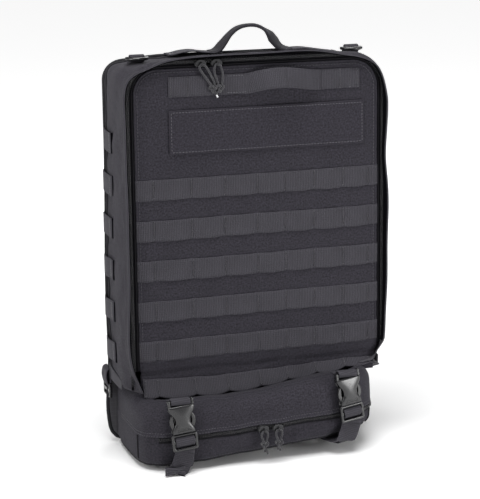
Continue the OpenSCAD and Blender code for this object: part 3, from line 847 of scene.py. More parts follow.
ys = np.array([-9.8, -9.5, -8.4, -6.6, -4, -1.5, 1.2, 3.6, 4.4, 5.2, 8, 12, 17, 23, 30, 38, 46, 54, 62, 70, 75, 78, 79.0])
P = np.stack([gusset(y) for y in ys], axis=1)
b = Build()
thick = np.interp(ys, [-9.8, 4.4, 8, 92], [1.6, 1.8, 3.4, 3.6])
cloth(b, P, thick, out=outward_of(P), mat=0, mat_in=1, edge=0.45)
SHELL = P
# back gusset strip in the darker cordura copy: painted shade where the side wall turns back towards the harness
ys2 = np.array([78.6, 79.4, 80.5, 83, 86, 89, 91.4, 92.6])
P2 = np.stack([gusset(y, 0.4) for y in ys2], axis=1)
cloth(b, P2, 3.0, out=outward_of(P2), mat=2, mat_in=1)
# piped seam where the side cloth meets the back gusset
tube(b, gusset(78.8, -0.4)[4:-4], 1.25, 7, mat=3, up=(0, 1, 0))
N = grid_normals(P)
if (N * outward_of(P)).sum() < 0: N = -N
for col in (3, 8):
    stitches(b, P[:, col] + N[:, col] * 0.05, N[:, col], 3.9, 2.6, 0.26, 0.16, mat=4)
shell = on(b.make("side_gusset", [FAB_SIDE_LIT, LINE, FAB_SHADED, BIND, THREAD_DARK], xf=tucked), "pack", "fabric", "left_wall", "right_wall", "top_wall")

# inside of the storm flap: a facing of thinner cloth, turned in at the lip, in near-black painted shade
ys = np.array([-9.0, -8.6, -6.6, -4, -1.5, 1.2, 3.6, 4.4])
P = np.stack([gusset(y, 2.0) for y in ys], axis=1)
P = P[~((P[:, 0, 0] > 0) & (P[:, 0, 2] < 128))]
b = Build()
cloth(b, P, 0.9, out=outward_of(P), mat=0)
o1, o0 = cut(ring_path(10.0, 4.4, 94), 132), cut(ring_path(7.0, 4.4, 94), 132)
Q = np.stack([o1 + (o0 - o1) * t for t in (0, 0.1, 0.5, 0.9, 1)], axis=1)
# a flat band behind the main zipper in the same near-black cloth: a sheet of painted shade
cloth(b, Q, 1.4, out=(0, -1, 0))
on(b.make("storm_flap_facing", [SHADE_CLOTH], xf=tucked), "pack", "binding", "storm_flap")

# ---------------------------------------------------------------- zippers of the main compartment
b = Build()
o1, o0 = cut(ring_path(10.6, 2.3, 99)), cut(ring_path(8.0, 2.3, 99))
Q = np.stack([o1 + (o0 - o1) * t for t in (0, 0.1, 0.5, 0.9, 1)], axis=1)
cloth(b, Q, 0.9, out=(0, -1, 0))
coil(b, cut(ring_path(8.6, 0.4, 101)), (0, -1, 0), 1, mat=1)
stitches(b, cut(ring_path(9.9, 2.2, 101)), (0, -1, 0), 3.4, 2.4, 0.25, 0.18, mat=2)
on(b.make("zipper_frame_side", [TAPE, COIL, THREAD_DARK]), "pack", "zipper", "frame_zipper_tape")

b = Build()
o1, o0 = cut(ring_path(6.4, 2.3, 119), 124), cut(ring_path(-1.0, 2.3, 119), 124)
Q = np.stack([o1 + (o0 - o1) * t for t in (0, 0.1, 0.5, 0.9, 1)], axis=1)
cloth(b, Q, 0.9, out=(0, -1, 0))
coil(b, cut(ring_path(6.5, 0.4, 119), 124), (0, -1, 0), -1, mat=1)
tube(b, cut(ring_path(2.2, 0.7, 119), 122), 1.15, 8, mat=0, up=(0, 1, 0))
on(b.make("zipper_door_side", [TAPE, COIL, THREAD_DARK, BIND]), "door", "zipper", "door_zipper_tape")


# ---------------------------------------------------------------- door
def top_at(x, hw, top, r):
    rl, rr = both(r)
    x = np.asarray(x, float)
    rad = np.where(x < 0, rl, rr)
    ax = np.abs(x)
    return np.where(ax <= hw - rad, top, top - rad + np.sqrt(np.maximum(rad * rad - (ax - hw + rad) ** 2, 0)))


def door_y(x, z):
    """Surface of the door's front: nearly flat, softly quilted by its webbing rows, falling away at the border."""
    x, z = np.broadcast_arrays(np.asarray(x, float), np.asarray(z, float))
    d = 0.7 * waves(x, z, 150, 21) + 0.35 * waves(x, z, 55, 22)
    ztop = top_at(x, DOOR_HW, DOOR_TOP, R_DOOR)
    rim = np.minimum(DOOR_HW - np.abs(x), np.minimum(ztop - z, (z - 117) * 1.6))
    puff = 1.5 * smooth01(rim / 16.0)
    rows = np.zeros(x.shape)
    for i in range(5):
        rows += np.exp(-((z - (360 - 50.8 * i - 12.7)) / 11.5) ** 2)
    return 0.3 - puff - d * smooth01(rim / 30.0) + 1.0 * rows * smooth01(rim / 20.0)


def panel_grid(hw, top, r, zb, nx=110, nz=120, inset=0.0, fn=None, r_bot=0.0):
    """A grid over a panel with round top corners. Its columns crowd into the corners so that the arc stays smooth."""
    rl, rr = both(r)
    th = np.sin(np.linspace(0, np.pi / 2, 16))
    xs = np.concatenate([np.linspace(-hw + rl, hw - rr, nx), hw - rr + rr * th, -(hw - rl + rl * th), [hw - 0.6, -hw + 0.6]])
    xs = np.unique(xs.round(4))
    ts = np.linspace(0, 1, nz)
    ts = np.unique(np.concatenate([ts, [0.0022, 1 - 0.0022]]))
    X = np.repeat(xs[:, None], len(ts), 1)
    zt = top_at(xs, hw, top, r)[:, None]
    zl = zb if r_bot == 0 else (zb + top - top_at(xs, hw, top, r_bot))[:, None]
    Z = zl + (zt - zl) * ts[None, :]
    Y = fn(X, Z) if fn is not None else np.zeros(X.shape)
    return np.stack([X, Y, Z], axis=2)


P = panel_grid(DOOR_HW - 0.8, DOOR_TOP - 0.8, R_DOOR, 118.4, fn=door_y)
b = Build()
cloth(b, P, 5.0, wv=np.stack([P[..., 0], P[..., 2]], axis=2), mat=0, mat_in=1, edge=0.25)
# turned edge of the door
pipe = ring_path(-1.0, 0.4, 119)
tube(b, pipe, 1.3, 8, mat=0, up=(0, 1, 0))
on(b.make("door_cloth", [FAB, LINE, BIND]), "door", "fabric", "door_panel")
b = Build()
line = ring_path(-4.6, 0, 120)
line[:, 1] = door_y(line[:, 0], line[:, 2])
stitches(b, line, (0, -1, 0), 4.0, 2.8, 0.3, 0.2)
on(b.make("door_border_stitching", [THREAD_DARK]), "door", "fabric")

# ---------------------------------------------------------------- webbing rows
TACKS = [-136.6, -87.9, -45.0, -2.5, 34.3, 72.7, 111.6, 145.8]


def molle(b, ztop, x0, x1, seed, base=door_y, h=25.4, droop=0.9, stand=1.3, mat=0, thread=1, low=None):
    stops = [x0] + [t for t in TACKS if x0 + 3 < t < x1 - 3] + [x1]
    xs = []
    for a, c in zip(stops[:-1], stops[1:]):
        xs += list(a + (c - a) * (0.5 - 0.5 * np.cos(np.pi * np.linspace(0, 1, 13)))[:-1])
    xs = np.array([x0, x0 + 0.5] + xs[1:] + [x1 - 0.5, x1])
    xs = np.unique(xs)
    r = np.random.default_rng(seed)
    bow = np.zeros(len(xs))
    for a, c in zip(stops[:-1], stops[1:]):
        k = (xs >= a) & (xs <= c)
        u = (xs[k] - a) / (c - a)
        bow[k] = np.sin(np.pi * u) ** 0.8 * r.uniform(0.75, 1.15) * min(1.0, (c - a) / 36)
    vs = np.array([0, 0.025, 0.15, 0.3, 0.45, 0.6, 0.75, 0.88, 0.975, 1.0])
    X = np.repeat(xs[:, None], len(vs), 1)
    V = np.repeat(vs[None, :], len(xs), 0)
    B = bow[:, None]
    zt = ztop(X) if callable(ztop) else ztop + 0 * X
    zl = low(X) if low is not None else zt - h
    Z = zt + (zl - zt) * V - droop * B * V ** 1.5 - 0.35 * B * (1 - V) + 0.35 * waves(X, Z0(X), 210, seed + 50)
    Y = base(X, Z) - 1.15 - stand * B * (0.45 + 0.75 * V) - 0.25 * waves(X, V * 20, 33, seed)
    if low is not None:
        Y = Y - 8.5 * V ** 1.6
    P = np.stack([X, Y, Z], axis=2)
    cloth(b, P, 1.35, wv=np.stack([X, V * h - h / 2], axis=2), mat=mat)
    for t in stops[1:-1] + [x0 + 2.2, x1 - 2.2]:
        i = int(np.argmin(np.abs(xs - t)))
        a, c = P[i, 1] + A(0, 0, 0.2), P[i, -2]
        tack(b, a + (c - a) * 0.05, a + (c - a) * 0.95, (0, -1, 0), 1.0, 0.8, 0.24, mat=thread, lift=0.3)
    return P


def Z0(X):
    return np.zeros(np.shape(X))


b = Build()
for i in range(5):
    molle(b, 360 - 50.8 * i, -159.4, 159.4, 60 + i)
on(b.make("molle_webbing", [WEB, THREAD]), "door", "webbing", "molle_rows")

b = Build()
row6_top = lambda x: np.interp(x, [-157, -60, 38, 90, 123, 156], [108.8, 105.0, 107.5, 110, 110.6, 109])
row6_low = lambda x: np.interp(x, [-157, -60, -5, 38, 77, 123, 156], [87.8, 85.0, 87.6, 94.2, 98.8, 103.4, 104.0])
molle(b, row6_top, -156, 156, 77, base=lambda x, z: -0.4 + 0 * x, droop=3.2, stand=2.6, low=row6_low)
on(b.make("molle_row_low", [WEB, THREAD], xf=tucked), "pack", "webbing", "molle_row_6")

# strip of cloth between the fold line and the pouch, and the fold itself
b = Build()
xs = np.unique(np.concatenate([np.linspace(-157.4, 157.4, 90), [-156.9, 156.9]]))
zs = np.array([92, 92.4, 96, 100, 104, 107, 109.5, 111.5, 113.5, 115.5, 117.6, 119.5, 122, 125, 128, 131, 134, 137.5, 138])
X, Z = np.meshgrid(xs, zs, indexing="ij")
up = smooth01((Z - 113) / 8.0)
Y = (0.2 + 0.4 * waves(X, Z, 80, 31)) * (1 - up) + (door_y(X, np.maximum(Z, 122)) - 0.95) * up
Y = Y + (1.5 + 0.8 * waves(X, X * 0, 60, 33)) * np.exp(-((Z - 114.5 - 1.5 * waves(X, X * 0, 90, 34)) / 2.8) ** 2)
P = np.stack([X, Y, Z], axis=2)
cloth(b, P, np.interp(zs, [92, 112, 119, 138], [4.2, 4.0, 1.2, 0.9])[None, :] + 0 * X, wv=np.stack([X, Z], axis=2), mat=0, mat_in=1)
low = b.make("fold_cloth", [FAB, LINE], xf=tucked)
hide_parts("lower_front_strip")
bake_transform(low)

# ---------------------------------------------------------------- ID panel
b = Build()
xs = np.unique(np.concatenate([np.linspace(-115, 139.4, 64), [-114.3, 138.7]]))
zs = np.unique(np.concatenate([np.linspace(390, 444, 20), [390.7, 443.3]]))
X, Z = np.meshgrid(xs, zs, indexing="ij")
inn = np.minimum(np.minimum(X + 115, 139.4 - X), np.minimum(Z - 390, 444 - Z))
Y = np.minimum(door_y(X, Z) - 3.0 + 0.9 * smooth01(inn / 12), -4.3) - 0.35 * waves(X, Z, 60, 41)
P = np.stack([X, Y, Z + 0.5 * waves(X, Z, 200, 42)], axis=2)
cloth(b, P, np.where(inn < 4.2, 2.4, 1.4), wv=np.stack([X, Z], axis=2))
# the loop cloth is sewn on over a backing that sets it off the door; the backing's darker cordura is painted shade
# under the panel's edge
bk0 = P[2:-2, 2:-2].copy()
bk0[..., 1] += 1.8
cloth(b, bk0, 2.2, wv=np.stack([X, Z], axis=2)[2:-2, 2:-2], mat=2)
frame_line = []
for (xa, za), (xb, zb2) in zip([(-112.4, 392.6), (-112.4, 441.4), (136.8, 441.4), (136.8, 392.6)], [(-112.4, 441.4), (136.8, 441.4), (136.8, 392.6), (-112.4, 392.6)]):
    t = np.linspace(0, 1, 60)[:, None]
    q = np.hstack([xa + (xb - xa) * t, 0 * t, za + (zb2 - za) * t])
    q[:, 1] = np.array([P[np.argmin(np.abs(xs - c[0])), np.argmin(np.abs(zs - c[2])), 1] for c in q])
    stitches(b, q, (0, -1, 0), 4.0, 2.7, 0.36, 0.26, mat=1)
on(b.make("id_panel", [FAB_PATCH, THREAD, FAB_SHADED]), "door", "fabric", "id_patch")

# ---------------------------------------------------------------- grab strap across the door
b = Build()
for x0, x1, sd in ((-115.0, -14.0, 1), (79.0, 134.0, 2)):
    xs = np.unique(np.concatenate([np.linspace(x0, x1, 34), [x0 + 0.5, x1 - 0.5]]))
    vs = np.array([0, 0.025, 0.2, 0.4, 0.6, 0.8, 0.975, 1.0])
    X = np.repeat(xs[:, None], len(vs), 1)
    Z = 485.3 - 25.0 * vs[None, :] + 0 * X
    near = smooth01((X - x0) / (x1 - x0)) if sd == 1 else 1 - smooth01((X - x0) / (x1 - x0))
    Y = door_y(X, Z) - 1.5 - 1.2 * near - 0.35 * waves(X, Z, 45, 50 + sd)
    P = np.stack([X, Y, Z], axis=2)
    cloth(b, P, 1.5, wv=np.stack([X, Z - 472], axis=2))
    ends = (x0 + 2.5, x0 + 24) if sd == 1 else (x1 - 2.5, x1 - 14, x1 - 27)
    for t in ends:
        i = int(np.argmin(np.abs(xs - t)))
        tack(b, P[i, 1], P[i, -2], (0, -1, 0), 0.9, 0.8, 0.24, mat=1, lift=0.3)
    if sd == 1:
        for k in (1, -2):
            q = P[(xs > x1 - 30), k] + A(0, 0, -1.6 if k == 1 else 1.6)
            stitches(b, q, (0, -1, 0), 3.6, 2.6, 0.36, 0.26, mat=1)
on(b.make("grab_strap_sewn", [WEB, THREAD]), "door", "webbing", "grab_strap_ends")

t = np.linspace(0, 1, 41)
ext = np.clip((t - 0.04) / 0.92, 0, 1)
hump = np.sin(np.pi * ext ** 0.9)
arch = np.stack([-17.5 + 100 * t, -3.4 - 12.6 * hump ** 1.25, 472.8 + 6.4 * np.sin(np.pi * ext ** 0.8) ** 1.5], axis=1)
tilt = np.stack([0 * t, -0.3 * hump, -1 + 0 * t], axis=1)
for nm, part in (("left", slice(0, 21)), ("right", slice(20, 41))):
    b = Build()
    strip(b, arch[part], tilt[part], 25.2, 1.7, n=10, crown=0.4, s0=0.0 if nm == "left" else 0.05)
    half = b.make("grab_handle_" + nm, [WEB])
    if nm == "left":
        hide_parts("grab_handle")
        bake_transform(half)
    else:
        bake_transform(half)

# ---------------------------------------------------------------- carry handle
b = Build()
pts = [(-36, 84, 503.4), (-30, 83.6, 504.0), (-24.5, 82.8, 507), (-17.5, 82, 515), (-9.5, 81.8, 524.5), (0, 81.6, 531.8), (11, 81.6, 535.0), (24, 81.6, 535.0),
       (34, 81.6, 531.4), (41.5, 81.6, 525), (48.5, 81.8, 517.2), (55.5, 82.4, 510), (63.5, 83.5, 505), (71, 84, 503.4)]
line = catmull(pts, 2.0)
s = np.linspace(0, 1, len(line))
ang = np.interp(s, [0, 0.16, 0.3, 0.5, 0.66, 0.76, 0.88, 1], [0, 6, 2, 0, 10, 38, 30, 0])
acr = np.stack([0 * s, np.cos(np.radians(ang)), 0 * s], axis=1)
tn = tangents(line)
acr = acr + np.cross(tn, A(0, 1, 0)) * np.sin(np.radians(ang))[:, None]
wid = np.interp(s, [0, 0.12, 0.3, 0.42, 0.6, 0.72, 0.86, 1], [24, 24, 15, 13, 13.5, 19, 25, 25]) / 25.0
thk = 3.4
strip(b, line, acr, 25.0, thk, n=8, wscale=wid, crown=0.6)
hnd = b.make("carry_handle_webbing", [WEB_DARK])
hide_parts("top_handle")
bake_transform(hnd)

b = Build()
for pts in ([(-92, 84, 503.2), (-86, 84, 503.4), (-74, 84, 505.8), (-60, 84, 506.8), (-46, 84, 504.8), (-33, 84, 503.6), (-22, 84, 503.0)],
            [(62, 84, 503.0), (74, 84, 503.4), (88, 84, 503.6), (102, 84, 501.8), (116, 84, 499.4), (128, 84, 497.6), (138, 84, 496.0)]):
    line = catmull(pts, 2.5)
    strip(b, line, (0, 1, 0), 25.0, 1.6, n=8)
    for x in (pts[0][0] + 3, pts[-1][0] - 4):
        i = int(np.argmin(np.abs(line[:, 0] - x)))
        tack(b, line[i] + A(0, -11, 0), line[i] + A(0, 11, 0), (0, 0, 1), 1.0, 0.8, 0.26, mat=1, lift=1.0)
on(b.make("handle_tail_webbing", [WEB, THREAD]), "pack", "webbing", "handle_tails")

# ---------------------------------------------------------------- rings and their tabs
RX, RY = 141.0, 45.0
for sgn, nm in ((-1, "left"), (1, "right")):
    RZ = 504.7
    b = Build()
    th = np.linspace(0, np.pi, 26)
    pts = [A(sgn * RX - 14.2, RY, RZ)] if False else []
    arc = np.stack([sgn * RX + 13 * np.cos(th), RY - 13 * np.sin(th) * 1.0, RZ + 0 * th], axis=1)
    bar = np.stack([np.linspace(sgn * RX - 13, sgn * RX + 13, 14)[1:-1], np.full(12, RY), np.full(12, RZ)], axis=1)
    loop = np.vstack([arc, bar])
    loop = spaced(np.vstack([loop, loop[:1]]), 1.4)[:-1]
    tube(b, loop, 2.15, 12, closed=True, up=(0, 0, 1))
    on(b.make("d_ring_" + nm, [PLAS]), "ring_" + nm[0], "hardware", "ring_" + nm)
b = Build()
for sgn in (-1, 1):
    sag = A(1.5, 1.1, 0.5, 0, 0, 0, 0.3, 0.9, 1.5) * (1.0 if sgn < 0 else 5.2)
    # webbing out of the seam, over the ring's bar and back
    pts = A((sgn * RX, RY + 17, 501.6), (sgn * RX, RY + 11, 503.2), (sgn * RX, RY + 5, 506.0), (sgn * RX, RY + 1.2, 508.4), (sgn * RX, RY - 2.6, 507.8),
            (sgn * RX, RY - 4.2, 504.8), (sgn * RX, RY - 2.4, 501.4), (sgn * RX, RY + 3, 500.4), (sgn * RX, RY + 12, 500.6)) - sag[:, None] * A(0, 0, 1)
    strip(b, catmull(pts, 1.2), (1, 0, 0), 18.5, 1.7, n=8)
    tack(b, (sgn * RX - 8, RY + 12, 503.9 - 1.1 * sag[0]), (sgn * RX + 8, RY + 12, 503.9 - 1.1 * sag[0]), (0, 0, 1), 1.1, 0.8, 0.26, mat=1)
on(b.make("ring_tab_webbing", [WEB, THREAD]), "pack", "webbing", "ring_tabs")


# ---------------------------------------------------------------- sliders
def slider(name, body, cad, x, y, z):
    b = Build()
    # body: two shields joined by a neck, drawn as a rounded wedge
    out = chaikin([(-6.2, -3.0), (6.2, -3.0), (7.2, 1.6), (5.4, 5.4), (2.1, 6.4), (-2.1, 6.4), (-5.4, 5.4), (-7.2, 1.6)], 2)
    top = moulded(name + "_a", [out], y + 2.4, y + 4.2, 0.6, SLIDER, at=(x, 0, z))
    bot = moulded(name + "_b", [out], y + 6.0, y + 7.6, 0.6, SLIDER, at=(x, 0, z))
    neck = moulded(name + "_c", [chaikin([(-1.6, 2.0), (1.6, 2.0), (1.6, 5.6), (-1.6, 5.6)], 1)], y + 4.0, y + 6.2, 0.3, SLIDER, at=(x, 0, z))
    # bridge that holds the cord
    th = np.linspace(0, np.pi, 14)
    br = np.stack([np.full(14, x), y + 3.0 - 5.2 * np.sin(th), z + 0.2 + 2.9 * np.cos(th)], axis=1)
    tube(b, br, 0.75, 8, up=(1, 0, 0))
    arch = b.make(name + "_d", [SLIDER])
    ob = join(name, [top, bot, neck, arch])
    on(ob, body, "slider_metal", cad)


slider("zip_slider_door_left", "door_slider_l", "door_slider_left", DOOR_X[0], EY, EZ)
slider("zip_slider_door_right", "door_slider_r", "door_slider_right", DOOR_X[1], EY, EZ)
slider("zip_slider_pouch_left", "pouch_slider_l", "pouch_slider_left", POUCH_X[0], PEY, PEZ)
slider("zip_slider_pouch_right", "pouch_slider_r", "pouch_slider_right", POUCH_X[1], PEY, PEZ)

# ---------------------------------------------------------------- side loops
b = Build()
for sgn in (-1, 1):
    for i in range(6):
        zt = 414 - 53.6 * i
        r = np.random.default_rng(90 + i + (10 if sgn > 0 else 0))
        k = r.uniform(0.8, 1.2)
        near = SHELL[(SHELL[:, 0, 0] * sgn > 150)]
        prof = near[int(np.argmin(np.abs(near[:, 12, 2] - (zt - 12.7))))]
        skin = lambda y: float(np.interp(y, prof[:, 1], np.abs(prof[:, 0])))
        pts = [(skin(y) + d, y, 0) for y, d in ((46.8, 0.7), (48.0, 1.5), (52, 1.6), (57, 1.9), (63, 2.8 * k), (70, 3.4 * k), (77, 3.4), (84, 2.8), (90, 1.6), (94.6, 0.2))]
        line = catmull(pts, 2.0) * A(sgn, 1, 1)
        line[:, 2] = zt - 12.7 + 0.8 * np.sin(line[:, 1] * 0.08 + i)
        strip(b, line, (0, 0, 1), 25.4, 1.6, n=8)
        for y0 in (50.6, 53.0):
            j = int(np.argmin(np.abs(line[:, 1] - y0)))
            q = line[j]
            stitches(b, np.linspace(q + A(0, 0, 11.6), q - A(0, 0, 11.6), 14), (sgn, -0.3, 0), 2.9, 2.0, 0.45, 0.4, mat=1, lift=0.9)
        # turned hem, drawn into the cloth by its seam: a near-black tube, painted shadow at the front end of each loop
        hem = np.linspace(A(sgn * (skin(45.2) + 0.1), 45.2, zt + 0.2), A(sgn * (skin(45.2) + 0.1), 45.2, zt - 25.4), 12)
        tube(b, hem, 1.3, 6, mat=2)
on(b.make("side_loop_webbing", [WEB, THREAD, SHADE_CLOTH]), "pack", "webbing", "side_loops")

# ---------------------------------------------------------------- anchor tabs and adjusters, low on each side
b = Build()
for sgn in (-1, 1):
    # strip sewn flat on the side wall, running down and forward from the back seam
    pts = [(172.6, 104, 96), (174.0, 96, 98), (175.0, 84, 98), (175.2, 66, 96.5), (174.6, 48, 95), (173.8, 32, 94)]
    line = catmull(pts, 3) * A(sgn, 1, 1)
    wid = np.interp(np.linspace(0, 1, len(line)), [0, 1], [0.86, 0.5])
    strip(b, line, (0, 0.1, 1), 25.0, 1.5, n=8, wscale=wid)
    # loop out of it that carries the adjuster
    pts = [(174, 100, 101), (178.5, 100, 99), (180.4, 100, 90), (178.6, 100, 80), (177.0, 100, 77.4), (175.2, 100, 79), (174.4, 100, 88), (173.4, 100, 97)]
    strip(b, catmull(pts, 2) * A(sgn, 1, 1), (0, 1, 0), 24.0, 1.4, n=8)
    tack(b, A(sgn * 176.4, 84, 107), A(sgn * 176.4, 84, 90), (sgn, 0, 0), 1.0, 0.8, 0.26, mat=1)
on(b.make("anchor_tab_webbing", [WEB, THREAD]), "pack", "webbing", "anchor_tabs")
for sgn, nm in ((-1, "left"), (1, "right")):
    def rect(y0, z0, y1, z1, c):
        return chaikin([(y0 + c, z0), (y1 - c, z0), (y1, z0 + c), (y1, z1 - c), (y1 - c, z1), (y0 + c, z1), (y0, z1 - c), (y0, z0 + c)], 1)
    outs = [rect(84, 62, 116, 82, 2.4), rect(88, 65, 112, 69, 0.8)[::-1], rect(88, 74, 112, 78.5, 0.8)[::-1]]
    x0, x1 = (174, 178) if sgn > 0 else (-178, -174)
    ob = moulded("strap_adjuster_" + nm, outs, x0, x1, 1.1, PLAS, plane="yz")
    on(ob, "adjuster_" + nm[0], "hardware", "adjuster_" + nm)


# ---------------------------------------------------------------- waist pouch
XL, XR, ZL, ZR, BY = -119.0, 101.0, 32.0, 45.6, -62.5


def pouch_top(x):
    x = np.asarray(x, float)
    return np.interp(x, [-166, -100, -60, -20, 10, 45, 80, 123, 153], [86.5, 87.5, 87.5, 88.5, 91.5, 97, 100.5, 102, 101])


def pouch_foot(x):
    return 2.6 + 22.5 * (np.asarray(x, float) + 166) / 319.0


def pouch_outline(n=220):
    """Plan of the pouch from the left back, round the front to the right back, with its outward normals."""
    pts = [(-167.5, 88.0), (-169.4, 60.0), (-169.6, 20.0), (-168.2, -6.0), (-165.0, -22.0), (-158.8, -34.6), (-149.0, -43.4), (-133, -49.4), (-110, -52.6), (-80, -53.8),
           (-40, -54.0), (0, -54.0), (40, -54.0), (72, -53.6), (94, -52.0), (109, -49.0), (121, -44.4), (130, -37.6), (136.6, -28.6), (141.4, -17.0), (145.6, -3.0), (148.8, 14.0), (150.8, 36.0), (152.0, 62.0), (152.4, 88.0)]
    p = catmull([(x, y, 0) for x, y in pts], 2.0)[:, :2]
    p = spaced(p, length_of(p) / (n - 1))
    t = np.gradient(p, axis=0)
    nrm = np.stack([t[:, 1], -t[:, 0]], axis=1)
    nrm /= np.linalg.norm(nrm, axis=1, keepdims=True)
    return p, nrm


PO, PN = pouch_outline()


def pouch_point(i, v, extra=0.0):
    """Surface of the stuffed pouch: v runs from 0 at the foot to 1 at the crown, for outline points i."""
    x, y = PO[i, 0], PO[i, 1]
    front = smooth01((-y - 8) / 30)
    H = pouch_top(x) + (91 - pouch_top(x)) * smooth01((y + 12) / 24) + 1.3 * waves(x, y, 90, 61) * front
    z0 = pouch_foot(x)
    z = z0 + (H - z0) * v
    # fuller in the middle, pulled in at the seam round its foot and over its shoulder
    u = np.clip((x + 166) / 319, 0, 1)
    rb, hb = 11 + 10 * u, 0.14 + 0.10 * u
    inset = rb * (1 - np.sqrt(np.clip(1 - np.clip((hb - v) / hb, 0, 1) ** 2, 0, 1))) + 17.0 * (1 - np.sqrt(np.clip(1 - np.clip((v - 0.76) / 0.24, 0, 1) ** 2, 0, 1)))
    full = (2.4 * np.sin(np.pi * np.clip(v, 0, 1)) - 1.4) * front
    soft = (1.9 * waves(x + 0.6 * y, z * 1.3, 78, 62) + 0.9 * waves(x - y, z * 1.1, 36, 63) + 0.35 * waves(x, z + y, 15, 64)) * front * (0.45 + 0.55 * (1 - v))
    held = np.exp(-((x - XL - 3) / 17.0) ** 2) + np.exp(-((x - XR + 3) / 17.0) ** 2)
    d = -inset + full + soft * (1 - 0.7 * np.clip(held, 0, 1)) - 1.6 * held * front + extra
    return np.stack([x + PN[i, 0] * d, y + PN[i, 1] * d, z], axis=-1)


idx = np.arange(len(PO))
vs = np.concatenate([np.linspace(0, 0.24, 12), np.linspace(0.27, 0.74, 18), np.linspace(0.76, 1.0, 12)])
P = np.stack([pouch_point(idx, v, extra=-1.6 if v > 0.5 else -0.6) for v in vs], axis=1)
b = Build()
nu, nv = P.shape[:2]
W = arc_coords(P)
W = np.concatenate([W, np.zeros((nu, nv, 1))], axis=2)
b.add(P.reshape(-1, 3), grid_faces(nu, nv, 0, False), W.reshape(-1, 3), 0)
# underside and crown, closed towards the middle
for j, up_ in ((0, False), (nv - 1, True)):
    rim = P[:, j]
    rows = [rim]
    for q, lift in ((0.9, 0.35), (0.7, 0.7), (0.4, 1.0), (0.1, 1.0)):
        c = rim.copy()
        c[:, 1] = 26 + (rim[:, 1] - 26) * q
        c[:, 0] = rim[:, 0] * (0.93 + 0.07 * q)
        if up_:
            c[:, 2] = rim[:, 2] - 11.0 * lift * smooth01((c[:, 1] + 50) / 40)
        rows.append(c)
    G = np.stack(rows, axis=1)
    WW = np.stack([G[..., 0], G[..., 1], 0 * G[..., 0]], axis=2)
    b.add(G.reshape(-1, 3), grid_faces(nu, len(rows), 0, up_ is False), WW.reshape(-1, 3), 0)
    last = G[:, -1]
    b.add(last, [tuple(range(nu)) if up_ else tuple(range(nu - 1, -1, -1))], np.stack([last[:, 0], last[:, 1], 0 * last[:, 0]], axis=1), 0)
# the back, between the outline's two ends
bk = np.stack([P[0], P[-1]], axis=0)
b.add(bk.reshape(-1, 3), grid_faces(2, nv, 0, False), np.zeros((2 * nv, 3)), 0)
pouch = on(b.make("waist_pouch", [FAB_POUCH]), "pack", "fabric", "pouch_body")


def flap_v(i):
    """Height share of the flap's lower edge at outline points i."""
    x, y = PO[i, 0], PO[i, 1]
    z = 45.0 + 13.0 * (x + 166) / 332.0 - 9.0 * smooth01((y + 42) / 40) * (x > 100) - 2.0 * smooth01((y + 42) / 40) * (x < -100)
    return (z - pouch_foot(x)) / (pouch_top(x) - pouch_foot(x))


b = Build()
rows = []
ts = np.array([0, 0.012, 0.05, 0.09, 0.14, 0.2, 0.27, 0.34, 0.42, 0.5, 0.58, 0.66, 0.73, 0.79, 0.84, 0.88, 0.92, 0.95, 0.975, 0.99, 1.0])
sel = np.where(PO[:, 1] < 60)[0]
v0 = flap_v(sel)
for t in ts:
    v = v0 + (0.998 - v0) * t
    lip = 1.8 * (1 - smooth01(t / 0.16)) * (1 + 0.6 * waves(PO[sel, 0], PO[sel, 1], 62, 71)) * smooth01((-PO[sel, 1]) / 30)
    rows.append(pouch_point(sel, v, extra=0.7 + lip))
P = np.stack(rows, axis=1)
outw = np.stack([np.column_stack([PN[sel], np.zeros(len(sel))])] * len(ts), axis=1)
cloth(b, P, 1.8, out=outw)
N = grid_normals(P)
if (N * outw).sum() < 0: N = -N
for k, f in ((3, 0.5), (1, 0.6)):
    edge_line = P[:, k] + (P[:, k + 1] - P[:, k]) * f + N[:, k] * 0.05
    stitches(b, edge_line, N[:, k], 3.6, 2.5, 0.3, 0.2, mat=1)
# the crown, running back under the main compartment
rim = P[:, -1]
front_i = np.where(rim[:, 1] < 0)[0]
rr = rim[front_i]
G = [rr + A(0, 0, 0.05)]
for q in (0.2, 0.4, 0.6, 0.8, 1.0):
    c = rr.copy()
    c[:, 1] = rr[:, 1] + (4 - rr[:, 1]) * q
    c[:, 0] = rr[:, 0] * (1 - 0.012 * q)
    c[:, 2] = rr[:, 2] + 0.8 * math.sin(q * 2.0) - 10.0 * q ** 1.4 + 0.9 * waves(c[:, 0], c[:, 1] * 2, 60, 66) * math.sin(q * 3.1)
    G.append(c)
G = np.stack(G, axis=1)
cloth(b, G, 1.2, out=(0, 0, 1))
on(b.make("pouch_flap_cloth", [FAB_POUCH, THREAD_DARK]), "pack", "fabric", "pouch_flap")

# zipper under the flap's edge
b = Build()
sel = np.where((PO[:, 1] < -30) & (PO[:, 0] > -150) & (PO[:, 0] < 141))[0]


def share(x, z):
    return (z - pouch_foot(x)) / (pouch_top(x) - pouch_foot(x))


def zip_row(off, extra):
    x = PO[sel, 0]
    return pouch_point(sel, share(x, 43.2 + 11 * (x + 140) / 280 + off), extra=extra)


